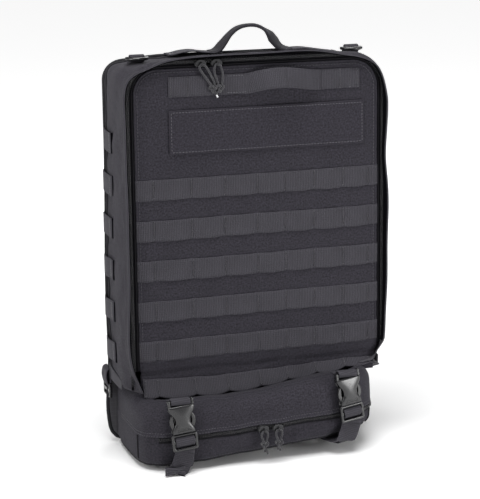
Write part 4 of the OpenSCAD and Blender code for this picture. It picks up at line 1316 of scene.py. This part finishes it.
P = np.stack([zip_row(o, 0.6) for o in (-5.0, -4.6, -2.0, 1.2, 3.4, 3.8)], axis=1)
outw = np.stack([np.column_stack([PN[sel], np.zeros(len(sel))])] * 6, axis=1)
cloth(b, P, 0.8, out=outw)
for off, sd in ((0.9, 1), (-0.9, -1)):
    mid = zip_row(off, 1.3)
    nn = np.column_stack([PN[sel], np.zeros(len(sel))])
    k = len(spaced(mid, 2.0 / 7.0))
    nn2 = np.stack([np.interp(np.linspace(0, 1, k), np.linspace(0, 1, len(nn)), nn[:, j]) for j in range(3)], axis=1)
    coil(b, mid, nn2, sd, 1.1, 2.0, 0.38, mat=1)
on(b.make("pouch_zipper", [TAPE, COIL]), "pack", "zipper", "pouch_zipper_tape")

# seams of the pouch: an upright seam at each front corner, and a piped one round the foot
b = Build()
for xs_, ys_ in ((-167.2, -13.0), (134, -33.0)):
    i = int(np.argmin(np.hypot(PO[:, 0] - xs_, PO[:, 1] - ys_)))
    vv = np.linspace(0.10, float(flap_v(np.array([i]))[0]) - 0.02, 26)
    q = np.array([pouch_point(np.array([i]), v, extra=0.2)[0] for v in vv])
    tube(b, q, 0.95, 7, mat=0)
sel2 = np.where(PO[:, 1] < 80)[0]
q = pouch_point(sel2, np.full(len(sel2), 0.05), extra=0.0)
tube(b, q, 1.1, 7, mat=0, up=(0, 0, 1))
q = pouch_point(sel2, np.full(len(sel2), 0.085), extra=0.15)
qn = np.column_stack([PN[sel2], np.zeros(len(sel2))])
stitches(b, q, qn, 3.8, 2.7, 0.28, 0.18, mat=1)
on(b.make("pouch_seams", [BIND, THREAD_DARK]), "pack", "binding")


# ---------------------------------------------------------------- retention straps, buckles
def leaning(x, z, tilt, lean, yaw):
    """Buckles sit a little askew on the stuffed pouch: moves local points (across, depth, height) there."""
    t, l, w = math.radians(tilt), math.radians(lean), math.radians(yaw)
    Rx = A((1, 0, 0), (0, math.cos(l), math.sin(l)), (0, -math.sin(l), math.cos(l)))
    Ry = A((math.cos(t), 0, -math.sin(t)), (0, 1, 0), (math.sin(t), 0, math.cos(t)))
    Rz = A((math.cos(w), -math.sin(w), 0), (math.sin(w), math.cos(w), 0), (0, 0, 1))
    R = Rz @ Ry @ Rx
    return lambda v: np.asarray(v, float) @ R.T + A(x, BY, z)


PUT = {"l": leaning(XL - 0.5, ZL, 4.6, 4.0, 2.0), "r": leaning(XR, ZR, 6.0, 4.0, 9.0)}


def on_floor(v):
    v = np.array(v, float)
    v[:, 2] = np.maximum(v[:, 2], 0.5)
    return v


def plug_web(b, key, tail, load):
    """Webbing from behind the pouch up to the plug, over its middle bar, and out again below."""
    put = PUT[key]
    up = put(A((0, 5.2, -4), (0, 5.2, 4), (0, 5.0, 11), (0, 4.2, 15.2), (0, 1.6, 17.0), (0, -1.8, 16.6), (0, -4.4, 14.2), (0, -5.2, 11.4), (0, -4.4, 8.6), (0, -1.6, 6.4), (0, 1.6, 5.6), (0, 3.4, 3.4), (0, 3.7, -1), (0, 3.7, -4)))
    line = catmull(np.vstack([load, up[1:-1]]), 1.4)
    strip(b, line, put(A((1, 0, 0)))[0] - put(A((0, 0, 0)))[0], 24.6, 1.35, n=8)
    line = catmull(np.vstack([up[-3:], tail]), 1.4)
    strip(b, line, (1, 0, 0), 24.6, 1.35, n=8)
    return line


b = Build()
x = XL
load = A((x, 86, 1.2), (x, 40, 1.2), (x, 0, 1.2), (x, -36, 1.6), (x, -47, 4.0), (x - 0.2, -53.4, 10.0), (x - 0.4, -56.4, 18), (x - 0.5, -57.3, 25))
line = plug_web(b, "l", A((x - 2.0, -59.0, 22), (x - 4.4, -59.6, 15), (x - 7.4, -59.8, 8.6), (x - 10.0, -60.2, 5.0), (x - 12.6, -61.6, 3.4)), load)
e = line[-1]
h = [e + A(0.8, 0.6, 0.6), e + A(-1.4, -1.6, 0.4), e + A(-2.6, -3.6, 0.9), e + A(-3.0, -4.6, 3.0), e + A(-3.0, -4.2, 5.4), e + A(-2.4, -2.6, 6.4), e + A(-1.8, -1.0, 5.6), e + A(-1.6, -0.6, 3.4)]
strip(b, catmull(h, 0.8), (1, 0, 0), 25.2, 1.7, n=8)
tack(b, e + A(-14, -5.6, 4.0), e + A(8, -5.6, 4.0), (0, -1, 0.1), 0.9, 0.8, 0.25, mat=1)
on(b.make("pouch_strap_left", [WEB, THREAD], xf=on_floor), "pack", "webbing", "retention_strap_left")
b = Build()
x = XR
load = A((x - 3, 86, 1.2), (x - 3, 40, 1.2), (x - 4, 10, 2.4), (x - 3.5, -18, 7.5), (x - 2.6, -36, 11.0), (x - 1.8, -47.5, 14.4), (x - 0.8, -53.2, 22.0), (x - 0.4, -55.4, 31), (x - 0.2, -56.8, 38))
line = plug_web(b, "r", A((x - 1.6, -59.8, 37), (x - 4.4, -60.4, 29), (x - 7.8, -59.8, 22.4), (x - 11.0, -55.6, 18.0), (x - 14.6, -48.0, 17.2), (x - 18.6, -39.0, 19.2), (x - 21.6, -31.0, 22.6)), load)
on(b.make("pouch_strap_right", [WEB, THREAD], xf=on_floor), "pack", "webbing", "retention_strap_right")

b = Build()
for key, x, run in (("l", XL, [(-2, 80.5), (-12, 82.0), (-24, 85.6), (-36, 88.2), (-46, 89.6)]), ("r", XR, [(-2, 94.0), (-12, 96.0), (-24, 99.6), (-36, 102.2), (-46, 103.6)])):
    # from the seam under the door, over the pouch's shoulder, and round the socket's bar
    put = PUT[key]
    top = put(A((0, 0, 62)))[0]
    world = A(*[(x + (top[0] - x) * (k / 5.0), y, z) for k, (y, z) in enumerate(run)])
    loc = put(A((0, 8.6, 57.6), (0, 6.0, 60.6), (0, 4.2, 63.6), (0, 1.6, 65.6), (0, -1.6, 65.4), (0, -3.9, 63.4), (0, -4.0, 60.4), (0, -1.8, 58.2), (0, 1.2, 58.0), (0, 3.2, 59.6), (0, 5.4, 57.4), (0, 7.4, 55.6)))
    strip(b, catmull(np.vstack([world, loc]), 1.3), (1, 0, 0), 24.6, 1.5, n=8)
on(b.make("buckle_webbing", [WEB, THREAD]), "pack", "webbing", "buckle_web_loops")


def arcs(c, r, a0, a1, n=6):
    th = np.radians(np.linspace(a0, a1, n))
    return [(c[0] + r * math.cos(t), c[1] + r * math.sin(t)) for t in th]


def rrect(x0, z0, x1, z1, r, n=5):
    return np.array(arcs((x1 - r, z0 + r), r, -90, 0, n) + arcs((x1 - r, z1 - r), r, 0, 90, n) + arcs((x0 + r, z1 - r), r, 90, 180, n) + arcs((x0 + r, z0 + r), r, 180, 270, n))


half = catmull([(14.6, 22.2, 0), (14.2, 26.5, 0), (12.4, 30.6, 0), (10.2, 34.6, 0), (9.6, 38.6, 0), (11.0, 43.2, 0), (13.8, 47.4, 0), (15.8, 51.0, 0), (16.5, 54.5, 0), (16.6, 57.0, 0)], 0.8)[:, :2]
PLATE = np.vstack([half, half[::-1] * A(-1, 1)])
socks, plugs = [], []
for nm in ("l", "r"):
    put = PUT[nm]
    # front shell: swelling in the middle, rolled over at its flanks
    cs = np.array([-1, -0.985, -0.94, -0.86, -0.72, -0.5, -0.25, 0, 0.25, 0.5, 0.72, 0.86, 0.94, 0.985, 1])
    zz = np.concatenate([[22.2, 22.5], np.linspace(23.2, 56, 40), [56.7, 57.0]])
    ww = np.interp(zz, half[:, 1], half[:, 0])
    C = cs[None, :] + 0 * zz[:, None]
    mid = np.sin(np.pi * np.clip((zz - 22) / 35.0, 0, 1))[:, None]
    ends = np.minimum(1, np.minimum(zz - 22.0, 57.2 - zz) / 1.6)[:, None]
    Y = -3.3 - 2.0 * np.sqrt(np.clip(1 - np.abs(C) ** 5, 0, 1)) * (0.55 + 0.45 * np.clip(ends, 0, 1)) - 1.3 * mid * (1 - C ** 2)
    P = np.stack([C * ww[:, None], Y, zz[:, None] + 0 * C], axis=2)
    bb = Build()
    cloth(bb, P, 0.8, out=(0, -1, 0))
    # thumb ribs
    for zr in (25.4, 27.4, 29.4):
        w_ = float(np.interp(zr, half[:, 1], half[:, 0])) * 0.62
        tube(bb, [(xx, -5.55 - 0.4 * (1 - (xx / 10) ** 2), zr) for xx in np.linspace(-w_, w_, 12)], 0.45, 6, up=(0, 1, 0))
    tube(bb, [(xx, 0, 62.2) for xx in np.linspace(-15.5, 15.5, 12)], 2.0, 10)
    socks.append(bb.make("sock_front_" + nm, [PLAS], xf=put))
    socks.append(moulded("sock_back_" + nm, [PLATE], 2.7, 4.5, 0.8, PLAS, xf=put))
    socks.append(moulded("sock_core_" + nm, [rrect(-15.4, 50.4, 15.4, 57.0, 1.2)], -3.4, 3.2, 0.4, PLAS, xf=put))
    for sx in (-1, 1):
        x0, x1 = sorted((sx * 13.3, sx * 16.7))
        socks.append(moulded(f"sock_ear_{nm}{sx}", [rrect(x0, 52, x1, 65.0, 1.5)], -3.6, 3.4, 1.1, PLAS, xf=put, res=3))
    ladder = rrect(-16.6, 0.0, 16.6, 21.6, 2.8)
    h1, h2 = rrect(-13.2, 3.4, 13.2, 9.3, 1.4)[::-1], rrect(-13.2, 13.5, 13.2, 18.5, 1.4)[::-1]
    plugs.append(moulded("plug_frame_" + nm, [ladder, h1, h2], -3.5, 2.7, 1.3, PLAS, xf=put, res=4))
    guide = chaikin([(-3.2, 20.5), (3.2, 20.5), (3.0, 41), (1.6, 44.5), (-1.6, 44.5), (-3.0, 41)], 1)
    plugs.append(moulded("plug_guide_" + nm, [guide], -1.6, 1.6, 0.5, PLAS, xf=put))
sock = on(join("socket_shells", socks), "pack", "hardware", "buckle_sockets")
plug = on(join("plug_frames", plugs), "pack", "hardware", "buckle_plugs")
arm = [(6.0, 22.2), (10.6, 22.2), (12.9, 26.6), (15.8, 31.2), (17.0, 36.2), (16.4, 41.2), (14.2, 45.8), (11.4, 47.0), (11.2, 43.6), (12.2, 39), (11.6, 34.6), (9.4, 30.2), (6.2, 26.2)]
for side in ("left", "right"):
    for ab, sx in (("a", -1), ("b", 1)):
        o = chaikin(arm, 2) * A(sx, 1)
        if sx < 0:
            o = o[::-1]
        ob = moulded(f"latch_{side}_{ab}", [o], -2.4, 2.4, 0.9, PLAS, res=3, xf=PUT[side[0]])
        on(ob, f"latch_{side[0]}_{ab}", "hardware", f"latch_arm_{side}_{ab}")

# ---------------------------------------------------------------- back: panel, pads, harness
b = Build()
P = panel_grid(170.5, 500, 24, 3.0, 60, 70, fn=lambda x, z: 97.6 + 0.7 * waves(x, z, 130, 81), r_bot=20)


def settle(x, z):
    """The back's top edge sags towards its corners, and its flanks swell low down where the pouch presses on them."""
    sag = np.clip((z - 380) / 120, 0, 1) ** 2 * (5.5 * smooth01((-x - 95) / 60) * 0.7 + 8.0 * smooth01((x - 90) / 60))
    swell = 6.0 * np.exp(-((z - 48) / 42.0) ** 2) * smooth01((np.abs(x) - 120) / 45)
    swell = swell + 3.6 * np.exp(-((z - 200) / 120.0) ** 2) * smooth01((-x - 120) / 45)
    return np.sign(x) * swell, -sag


dx, dz = settle(P[..., 0], P[..., 2])
P[..., 0] += dx
P[..., 2] += dz
cloth(b, P, 5.0, out=(0, 1, 0), wv=np.stack([P[..., 0], P[..., 2]], axis=2), mat=0, mat_in=1)
# bound seam round the back
o = outline(170.8, 500.4, 24, 22, 50, 14, 50)
bot = [(170.8, 22), (169.2, 14.5), (164.6, 8.0), (158, 4.2), (150, 3.0), (75, 3.0), (0, 3.0), (-75, 3.0), (-150, 3.0), (-158, 4.2), (-164.6, 8.0), (-169.2, 14.5)]
loop = np.vstack([o, bot[1:]])
loop = spaced(np.vstack([loop, loop[:1]]), 4.0)[:-1]
dx, dz = settle(loop[:, 0], loop[:, 1])
loop = loop + np.column_stack([dx, dz])
tube(b, np.column_stack([loop[:, 0], np.full(len(loop), 95.2), loop[:, 1]]), 2.6, 8, mat=2, closed=True, up=(0, 1, 0))
on(b.make("back_panel_cloth", [FAB, LINE, BIND]), "pack", "fabric", "back_panel")


def pad(b, pts, y0, thick, out=1, crown=1.0, edge_r=6.0, nx=26, nz=40, mat=0, wob=0.5, seed=1, channels=()):
    """A foam pad sewn down round its edge: closed outline pts (x, z), crowned towards its middle."""
    o = np.asarray(pts, float)
    c = o.mean(0)
    rings = [1.0, 0.985, 0.95, 0.9, 0.82, 0.7, 0.55, 0.4, 0.25, 0.1]
    R = []
    dist = None
    for k in rings:
        q = c + (o - c) * k
        d = np.linalg.norm(o - q, axis=1)
        h = 0.25 + 0.75 * np.sqrt(np.clip(1 - (1 - np.clip(d / edge_r, 0, 1)) ** 2, 0, 1))
        y = thick * h + crown * (1 - k) - wob * 0.5 + wob * waves(q[:, 0], q[:, 1], 60, seed)
        for ch in channels:
            y = y - 3.0 * np.exp(-((q[:, 1] - ch) / 4.0) ** 2) * (1 if k < 0.99 else 0)
        R.append(np.stack([q[:, 0], y0 + out * y, q[:, 1]], axis=1))
    G = np.stack(R, axis=1)
    n, m = G.shape[:2]
    bottom = np.stack([o[:, 0], np.full(n, y0), o[:, 1]], axis=1)
    W = np.stack([G[..., 0], G[..., 2], 0 * G[..., 0]], axis=2)
    b.add(G.reshape(-1, 3), grid_faces(n, m, 0, out < 0, True), W.reshape(-1, 3), mat)
    b.add(G[:, -1], [tuple(range(n)) if out < 0 else tuple(range(n - 1, -1, -1))], W[:, -1], mat)
    S = np.stack([bottom, G[:, 0]], axis=1)
    b.add(S.reshape(-1, 3), grid_faces(n, 2, 0, out < 0, True), np.stack([S[..., 0], S[..., 2], 0 * S[..., 0]], axis=2).reshape(-1, 3), mat)
    b.add(bottom, [tuple(range(n)) if out > 0 else tuple(range(n - 1, -1, -1))], np.stack([bottom[:, 0], bottom[:, 2], 0 * bottom[:, 0]], axis=1), mat)
    return o


def dense(o, step=4.0):
    o = np.asarray(o, float)
    return spaced(np.vstack([o, o[:1]]), step)[:-1]


for nm, o, ch in (("back_pad_left", rrect(-122, 150, -32, 440, 18), (245, 345)), ("back_pad_right", rrect(32, 150, 122, 440, 18), (245, 345)), ("lumbar_pad", rrect(-128, 34, 128, 126, 20), ())):
    b = Build()
    o = dense(o)
    pad(b, o, 98.2, 10.5, 1, 1.2, 9.0, seed=len(nm), channels=ch)
    tube(b, np.column_stack([o[:, 0] * 1.0, np.full(len(o), 99.6), o[:, 1]]), 1.7, 7, mat=1, closed=True, up=(0, 1, 0))
    ob = b.make(nm, [MESH, BIND])
    on(ob, "pack", "spacer_mesh", *(["back_pads"] if nm == "lumbar_pad" else []))

# block of cloth and webbing that the shoulder straps are sewn to
b = Build()
xs = np.linspace(-104, 104, 60)
sec = [(98.4, 461), (103, 460.6), (108.4, 462), (111.4, 466), (111.6, 474), (111.5, 482), (108.6, 487), (103, 488.6), (98.4, 488.4)]
cs = catmull([(0, y, z) for y, z in sec], 1.6)[:, 1:]
G = np.stack([np.stack([np.full(len(cs), x), cs[:, 0] - 0.3 * np.sin(x * 0.11), cs[:, 1] + 0.5 * np.sin(x * 0.07)], axis=1) for x in xs], axis=0)
b.add(G.reshape(-1, 3), grid_faces(len(xs), len(cs), 0, False), np.concatenate([arc_coords(G), np.zeros((len(xs), len(cs), 1))], axis=2).reshape(-1, 3), 0)
b.add(G[0], [tuple(range(len(cs) - 1, -1, -1))], None, 0)
b.add(G[-1], [tuple(range(len(cs)))], None, 0)
for z in (465.5, 483.5):
    stitches(b, [(-102, 111.9, z), (102, 111.9, z)], (0, 1, 0), 4.2, 3.0, 0.4, 0.3, mat=1)
on(b.make("harness_yoke", [FAB, THREAD]), "pack", "fabric", "strap_yoke")

STRAP = catmull([(x, z, 0) for x, z in [(42, 484), (47, 489), (72, 490), (97, 489), (102.6, 484), (103.4, 440), (105, 395), (112, 330), (119, 288), (126, 248), (130.6, 214),
                 (131.2, 203), (125.5, 193), (112, 190.6), (99, 190.8), (91, 198), (86, 228), (79, 262), (68, 300), (57, 334), (49, 368), (44, 404), (42, 444), (41, 470), (42, 484)]], 4.0)[:-1, :2]
for sgn, nm in ((-1, "left"), (1, "right")):
    b = Build()
    o = STRAP * A(sgn, 1)
    if sgn < 0:
        o = o[::-1]
    pad(b, o, 119.0, 6.0, 1, 1.6, 9.0, seed=7, mat=0)
    pad(b, o, 119.0, 5.6, -1, 1.0, 9.0, seed=8, mat=1)
    tube(b, np.column_stack([o[:, 0], np.full(len(o), 119.0), o[:, 1]]), 2.2, 8, mat=2, closed=True, up=(0, 1, 0))
    # webbing down the middle of the strap, sewn at intervals
    mid = catmull([(sgn * 72, 126.2, 480), (sgn * 73, 127.0, 430), (sgn * 76, 127.2, 390), (sgn * 84, 127.2, 330), (sgn * 97, 127.2, 270), (sgn * 108, 126.6, 220), (sgn * 113, 125.4, 198)], 5)
    strip(b, mid, (1, 0, 0), 25.0, 1.3, n=6, mat=3)
    for k in range(3, len(mid) - 3, 12):
        tack(b, mid[k] + A(-11, 0, 0), mid[k] + A(11, 0, 0), (0, 1, 0), 1.0, 0.8, 0.26, mat=4, lift=0.9)
    ob = on(b.make("shoulder_strap_" + nm, [FAB, MESH, BIND, WEB, THREAD]), "shoulder_" + nm[0], "fabric", "shoulder_pad_" + nm)
    b = Build()
    line = catmull([(sgn * 112.6, 120, 200), (sgn * 113.5, 118, 190), (sgn * 121, 114.5, 174), (sgn * 136, 113.4, 145), (sgn * 152, 113.0, 113), (sgn * 163, 109, 92), (sgn * 170, 104, 86), (sgn * 174, 100, 84)], 3)
    strip(b, line, (-sgn * 0.9, 0, -0.44) if False else (0.89, 0.0, 0.45 * sgn), 24.0, 1.5, n=6)
    ob = b.make("lower_strap_" + nm, [WEB])
    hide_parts("lower_webbing_" + nm)
    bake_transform(ob)

# sternum strap
b = Build()
for sgn in (-1, 1):
    line = catmull([(sgn * 24, 129.8, 362), (sgn * 40, 130.6, 361.8), (sgn * 55, 129.8, 362), (sgn * 70, 129.0, 362), (sgn * 74, 128.4, 362)], 2.5)
    strip(b, line, (0, 0, 1), 19.5, 1.4, n=6)
    lp = catmull([(sgn * 60, 131.2, 362), (sgn * 46, 132.2, 362.4), (sgn * 34, 131.8, 362.2)], 2.5)
    strip(b, lp, (0, 0, 1), 19.5, 1.3, n=6)
on(b.make("sternum_strap_webbing", [WEB]), "sternum", "webbing", "sternum_webbing")
so = catmull([(x, z, 0) for x, z in [(-22.4, 352), (-16, 348), (0, 347.4), (16, 348), (22.4, 352), (21.4, 362), (22.4, 372), (16, 376), (0, 376.6), (-16, 376), (-22.4, 372), (-21.4, 362), (-22.4, 352)]], 1.5)[:-1, :2]
bk1 = moulded("sternum_buckle_shell", [so, rrect(-19, 352.5, -14.6, 371.5, 1)[::-1], rrect(14.6, 352.5, 19, 371.5, 1)[::-1]], 126.8, 133.0, 1.2, PLAS, res=3)
bk2 = moulded("sb_button", [rrect(-8, 356, 8, 368, 4)], 132.0, 133.8, 0.7, PLAS, res=3)
on(join("sternum_buckle_body", [bk1, bk2]), "sternum", "hardware", "sternum_buckle")
parts = []
for sgn in (-1, 1):
    x0, x1 = sorted((sgn * 50, sgn * 82))
    parts.append(moulded(f"ss_{sgn}", [rrect(x0, 350.4, x1, 373.6, 3), rrect(x0 + 5, 352.4, x0 + 9, 371.6, 1)[::-1], rrect(x1 - 9, 352.4, x1 - 5, 371.6, 1)[::-1]], 126.6, 128.6, 0.5, PLAS))
on(join("sternum_slider_plates", parts), "sternum", "hardware", "sternum_sliders")

# ---------------------------------------------------------------- inside
b = Build()
P = panel_grid(165.5, 497, 34, 98.5, 50, 60, fn=lambda x, z: 88.2 - 0.6 * waves(x, z, 110, 91))
cloth(b, P, 1.6, out=(0, -1, 0), wv=np.stack([P[..., 0], P[..., 2]], axis=2))
on(b.make("inner_lining_cloth", [LINE]), "pack", "fabric", "inner_lining")
b = Build()
for z in (170, 250, 350, 430):
    # elastic sewn down every 50 mm, standing off between, for bottles and instruments
    stops = np.linspace(-148, 148, 7)
    xs = np.unique(np.concatenate([np.linspace(-148, 148, 97), [-147.5, 147.5]]))
    u = (xs + 148) / (296 / 6)
    bow = np.abs(np.sin(np.pi * u)) ** 0.8
    vs = np.array([0, 0.02, 0.25, 0.5, 0.75, 0.98, 1])
    X = np.repeat(xs[:, None], 7, 1)
    Z = z + 38 * vs[None, :] + 0 * X
    P = np.stack([X, 86.4 - 3.6 * bow[:, None] - 0.5 * waves(X, Z, 40, z), Z], axis=2)
    cloth(b, P, 1.4, out=(0, -1, 0), wv=np.stack([X, Z], axis=2))
    for s in stops[1:-1]:
        i = int(np.argmin(np.abs(xs - s)))
        tack(b, P[i, 1], P[i, -2], (0, -1, 0), 1.0, 0.8, 0.26, mat=1)
on(b.make("elastic_retainers", [ELAS, THREAD]), "pack", "elastic", "elastic_loops")
b = Build()
xs = np.linspace(-166.6, 166.6, 50)
ysd = np.array([14, 14.8, 22, 34, 46, 58, 70, 78, 84.4, 85.2])
X, Y = np.meshgrid(xs, ysd, indexing="ij")
P = np.stack([X, Y, 303.8 + 0.5 * waves(X, Y, 90, 95)], axis=2)
cloth(b, P, 4.6, out=(0, 0, 1), wv=np.stack([X, Y], axis=2))
fr = np.stack([xs, np.full(50, 14.4), np.full(50, 301.6)], axis=1)
tube(b, fr, 3.1, 8, mat=1)
on(b.make("divider_shelf", [FOAM, BIND]), "pack", "fabric", "inner_divider")
b = Build()
xs = np.linspace(-165.5, 165.5, 40)
ysd = np.array([6.4, 7, 20, 40, 60, 80, 90.5, 91.2])
X, Y = np.meshgrid(xs, ysd, indexing="ij")
P = np.stack([X, Y, 97.6 + 0.3 * waves(X, Y, 80, 96)], axis=2)
cloth(b, P, 5.2, out=(0, 0, 1), wv=np.stack([X, Y], axis=2), mat=0, mat_in=1)
on(b.make("floor_panel", [LINE, FAB]), "pack", "fabric", "bottom_wall")
b = Build()
P = panel_grid(139.5, 300, 10, 140, 40, 40, fn=lambda x, z: 8.4 + 0.5 * waves(x, z, 60, 97), r_bot=10)
cloth(b, P, 1.4, out=(0, 1, 0), wv=np.stack([P[..., 0], P[..., 2]], axis=2))
strip(b, [(x, 8.6, 297) for x in np.linspace(-139, 139, 60)], (0, 0, 1), 9.0, 1.2, mat=1, n=4)
for x in (-139, 139):
    tube(b, [(x, 7.6, z) for z in np.linspace(150, 296, 20)], 1.2, 6, mat=1)
tube(b, [(x, 7.6, 141) for x in np.linspace(-130, 130, 20)], 1.2, 6, mat=1)
on(b.make("door_mesh_pocket", [MESH, BIND]), "door", "spacer_mesh", "mesh_pocket")
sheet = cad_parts["frame_sheet"]
sheet.data.materials.clear()
sheet.data.materials.append(HDPE)

# ---------------------------------------------------------------- floor and light
fl = bpy.data.meshes.new("floor")
n = 24
rad = [0.0] + list(np.geomspace(0.4, 40, n))
vts, fcs = [(0, 0, 0)], []
for r in rad[1:]:
    for k in range(32):
        vts.append((r * math.cos(k / 32 * 2 * math.pi), r * math.sin(k / 32 * 2 * math.pi), 0))
for k in range(32):
    fcs.append((0, 1 + k, 1 + (k + 1) % 32))
for i in range(n - 1):
    for k in range(32):
        a, c = 1 + i * 32, 1 + (i + 1) * 32
        fcs.append((a + k, c + k, c + (k + 1) % 32, a + (k + 1) % 32))
fl.from_pydata(vts, [], fcs)
floor = bpy.data.objects.new("floor", fl)
fm = Nodes("pale_floor")
sep = fm.t.nodes.new("ShaderNodeSeparateXYZ")
fm.t.links.new(fm.obj(), sep.inputs[0])
far = fm.math("SQRT", fm.math("ADD", fm.math("MULTIPLY", sep.outputs[0], sep.outputs[0]), fm.math("MULTIPLY", sep.outputs[1], sep.outputs[1])))
glow = fm.math("MULTIPLY_ADD", far, 0.55, -0.30, clamp=True)
fm.bsdf.inputs["Emission Color"].default_value = (1, 1, 1, 1)
fm.put(fm.bsdf.inputs["Emission Strength"], fm.math("MULTIPLY", glow, 0.8))
fl.materials.append(fm.done((0.94, 0.94, 0.94), 0.9, spec=0.1))
scene.collection.objects.link(floor)

world = bpy.data.worlds.new("studio")
scene.world = world
world.use_nodes = True
world.node_tree.nodes["Background"].inputs[0].default_value = (1, 1, 1, 1)
world.node_tree.nodes["Background"].inputs[1].default_value = 0.13


def softbox(name, loc, size, power, target=(0, 0, 0.27), size_y=None):
    d = bpy.data.lights.new(name, "AREA")
    d.shape, d.size, d.size_y, d.energy = "RECTANGLE", size, size_y or size, power
    o = bpy.data.objects.new(name, d)
    o.location = loc
    o.rotation_mode = "QUATERNION"
    o.rotation_quaternion = (Vector(target) - Vector(loc)).to_track_quat("-Z", "Y")
    scene.collection.objects.link(o)


softbox("top", (-0.25, -0.55, 2.3), 1.5, 62)
softbox("left", (-2.1, -0.75, 0.95), 1.0, 26, size_y=1.3)
softbox("right_front", (1.25, -1.45, 0.32), 0.55, 9, size_y=0.9)
softbox("back_rim", (0.9, 1.6, 1.5), 1.2, 16)
# the right buckle's glare: a panel where its face mirrors the camera, kept above the floor
p0, p1 = (A(*to_frame(q)) for q in PUT["r"](A([0, 0, 0], [0, -1, 0])))
n_ = (p1 - p0) / np.linalg.norm(p1 - p0)
v_ = A(eye.x, eye.y, eye.z) - p0
v_ = v_ / np.linalg.norm(v_)
r_ = 2 * (n_ @ v_) * n_ - v_
spot = p0 + r_ * 0.9
spot[2] = max(spot[2], 0.20)
softbox("buckle_panel", tuple(spot), 0.42, 3.6, target=tuple(p0), size_y=0.36)
scene.view_settings.view_transform = "Standard"
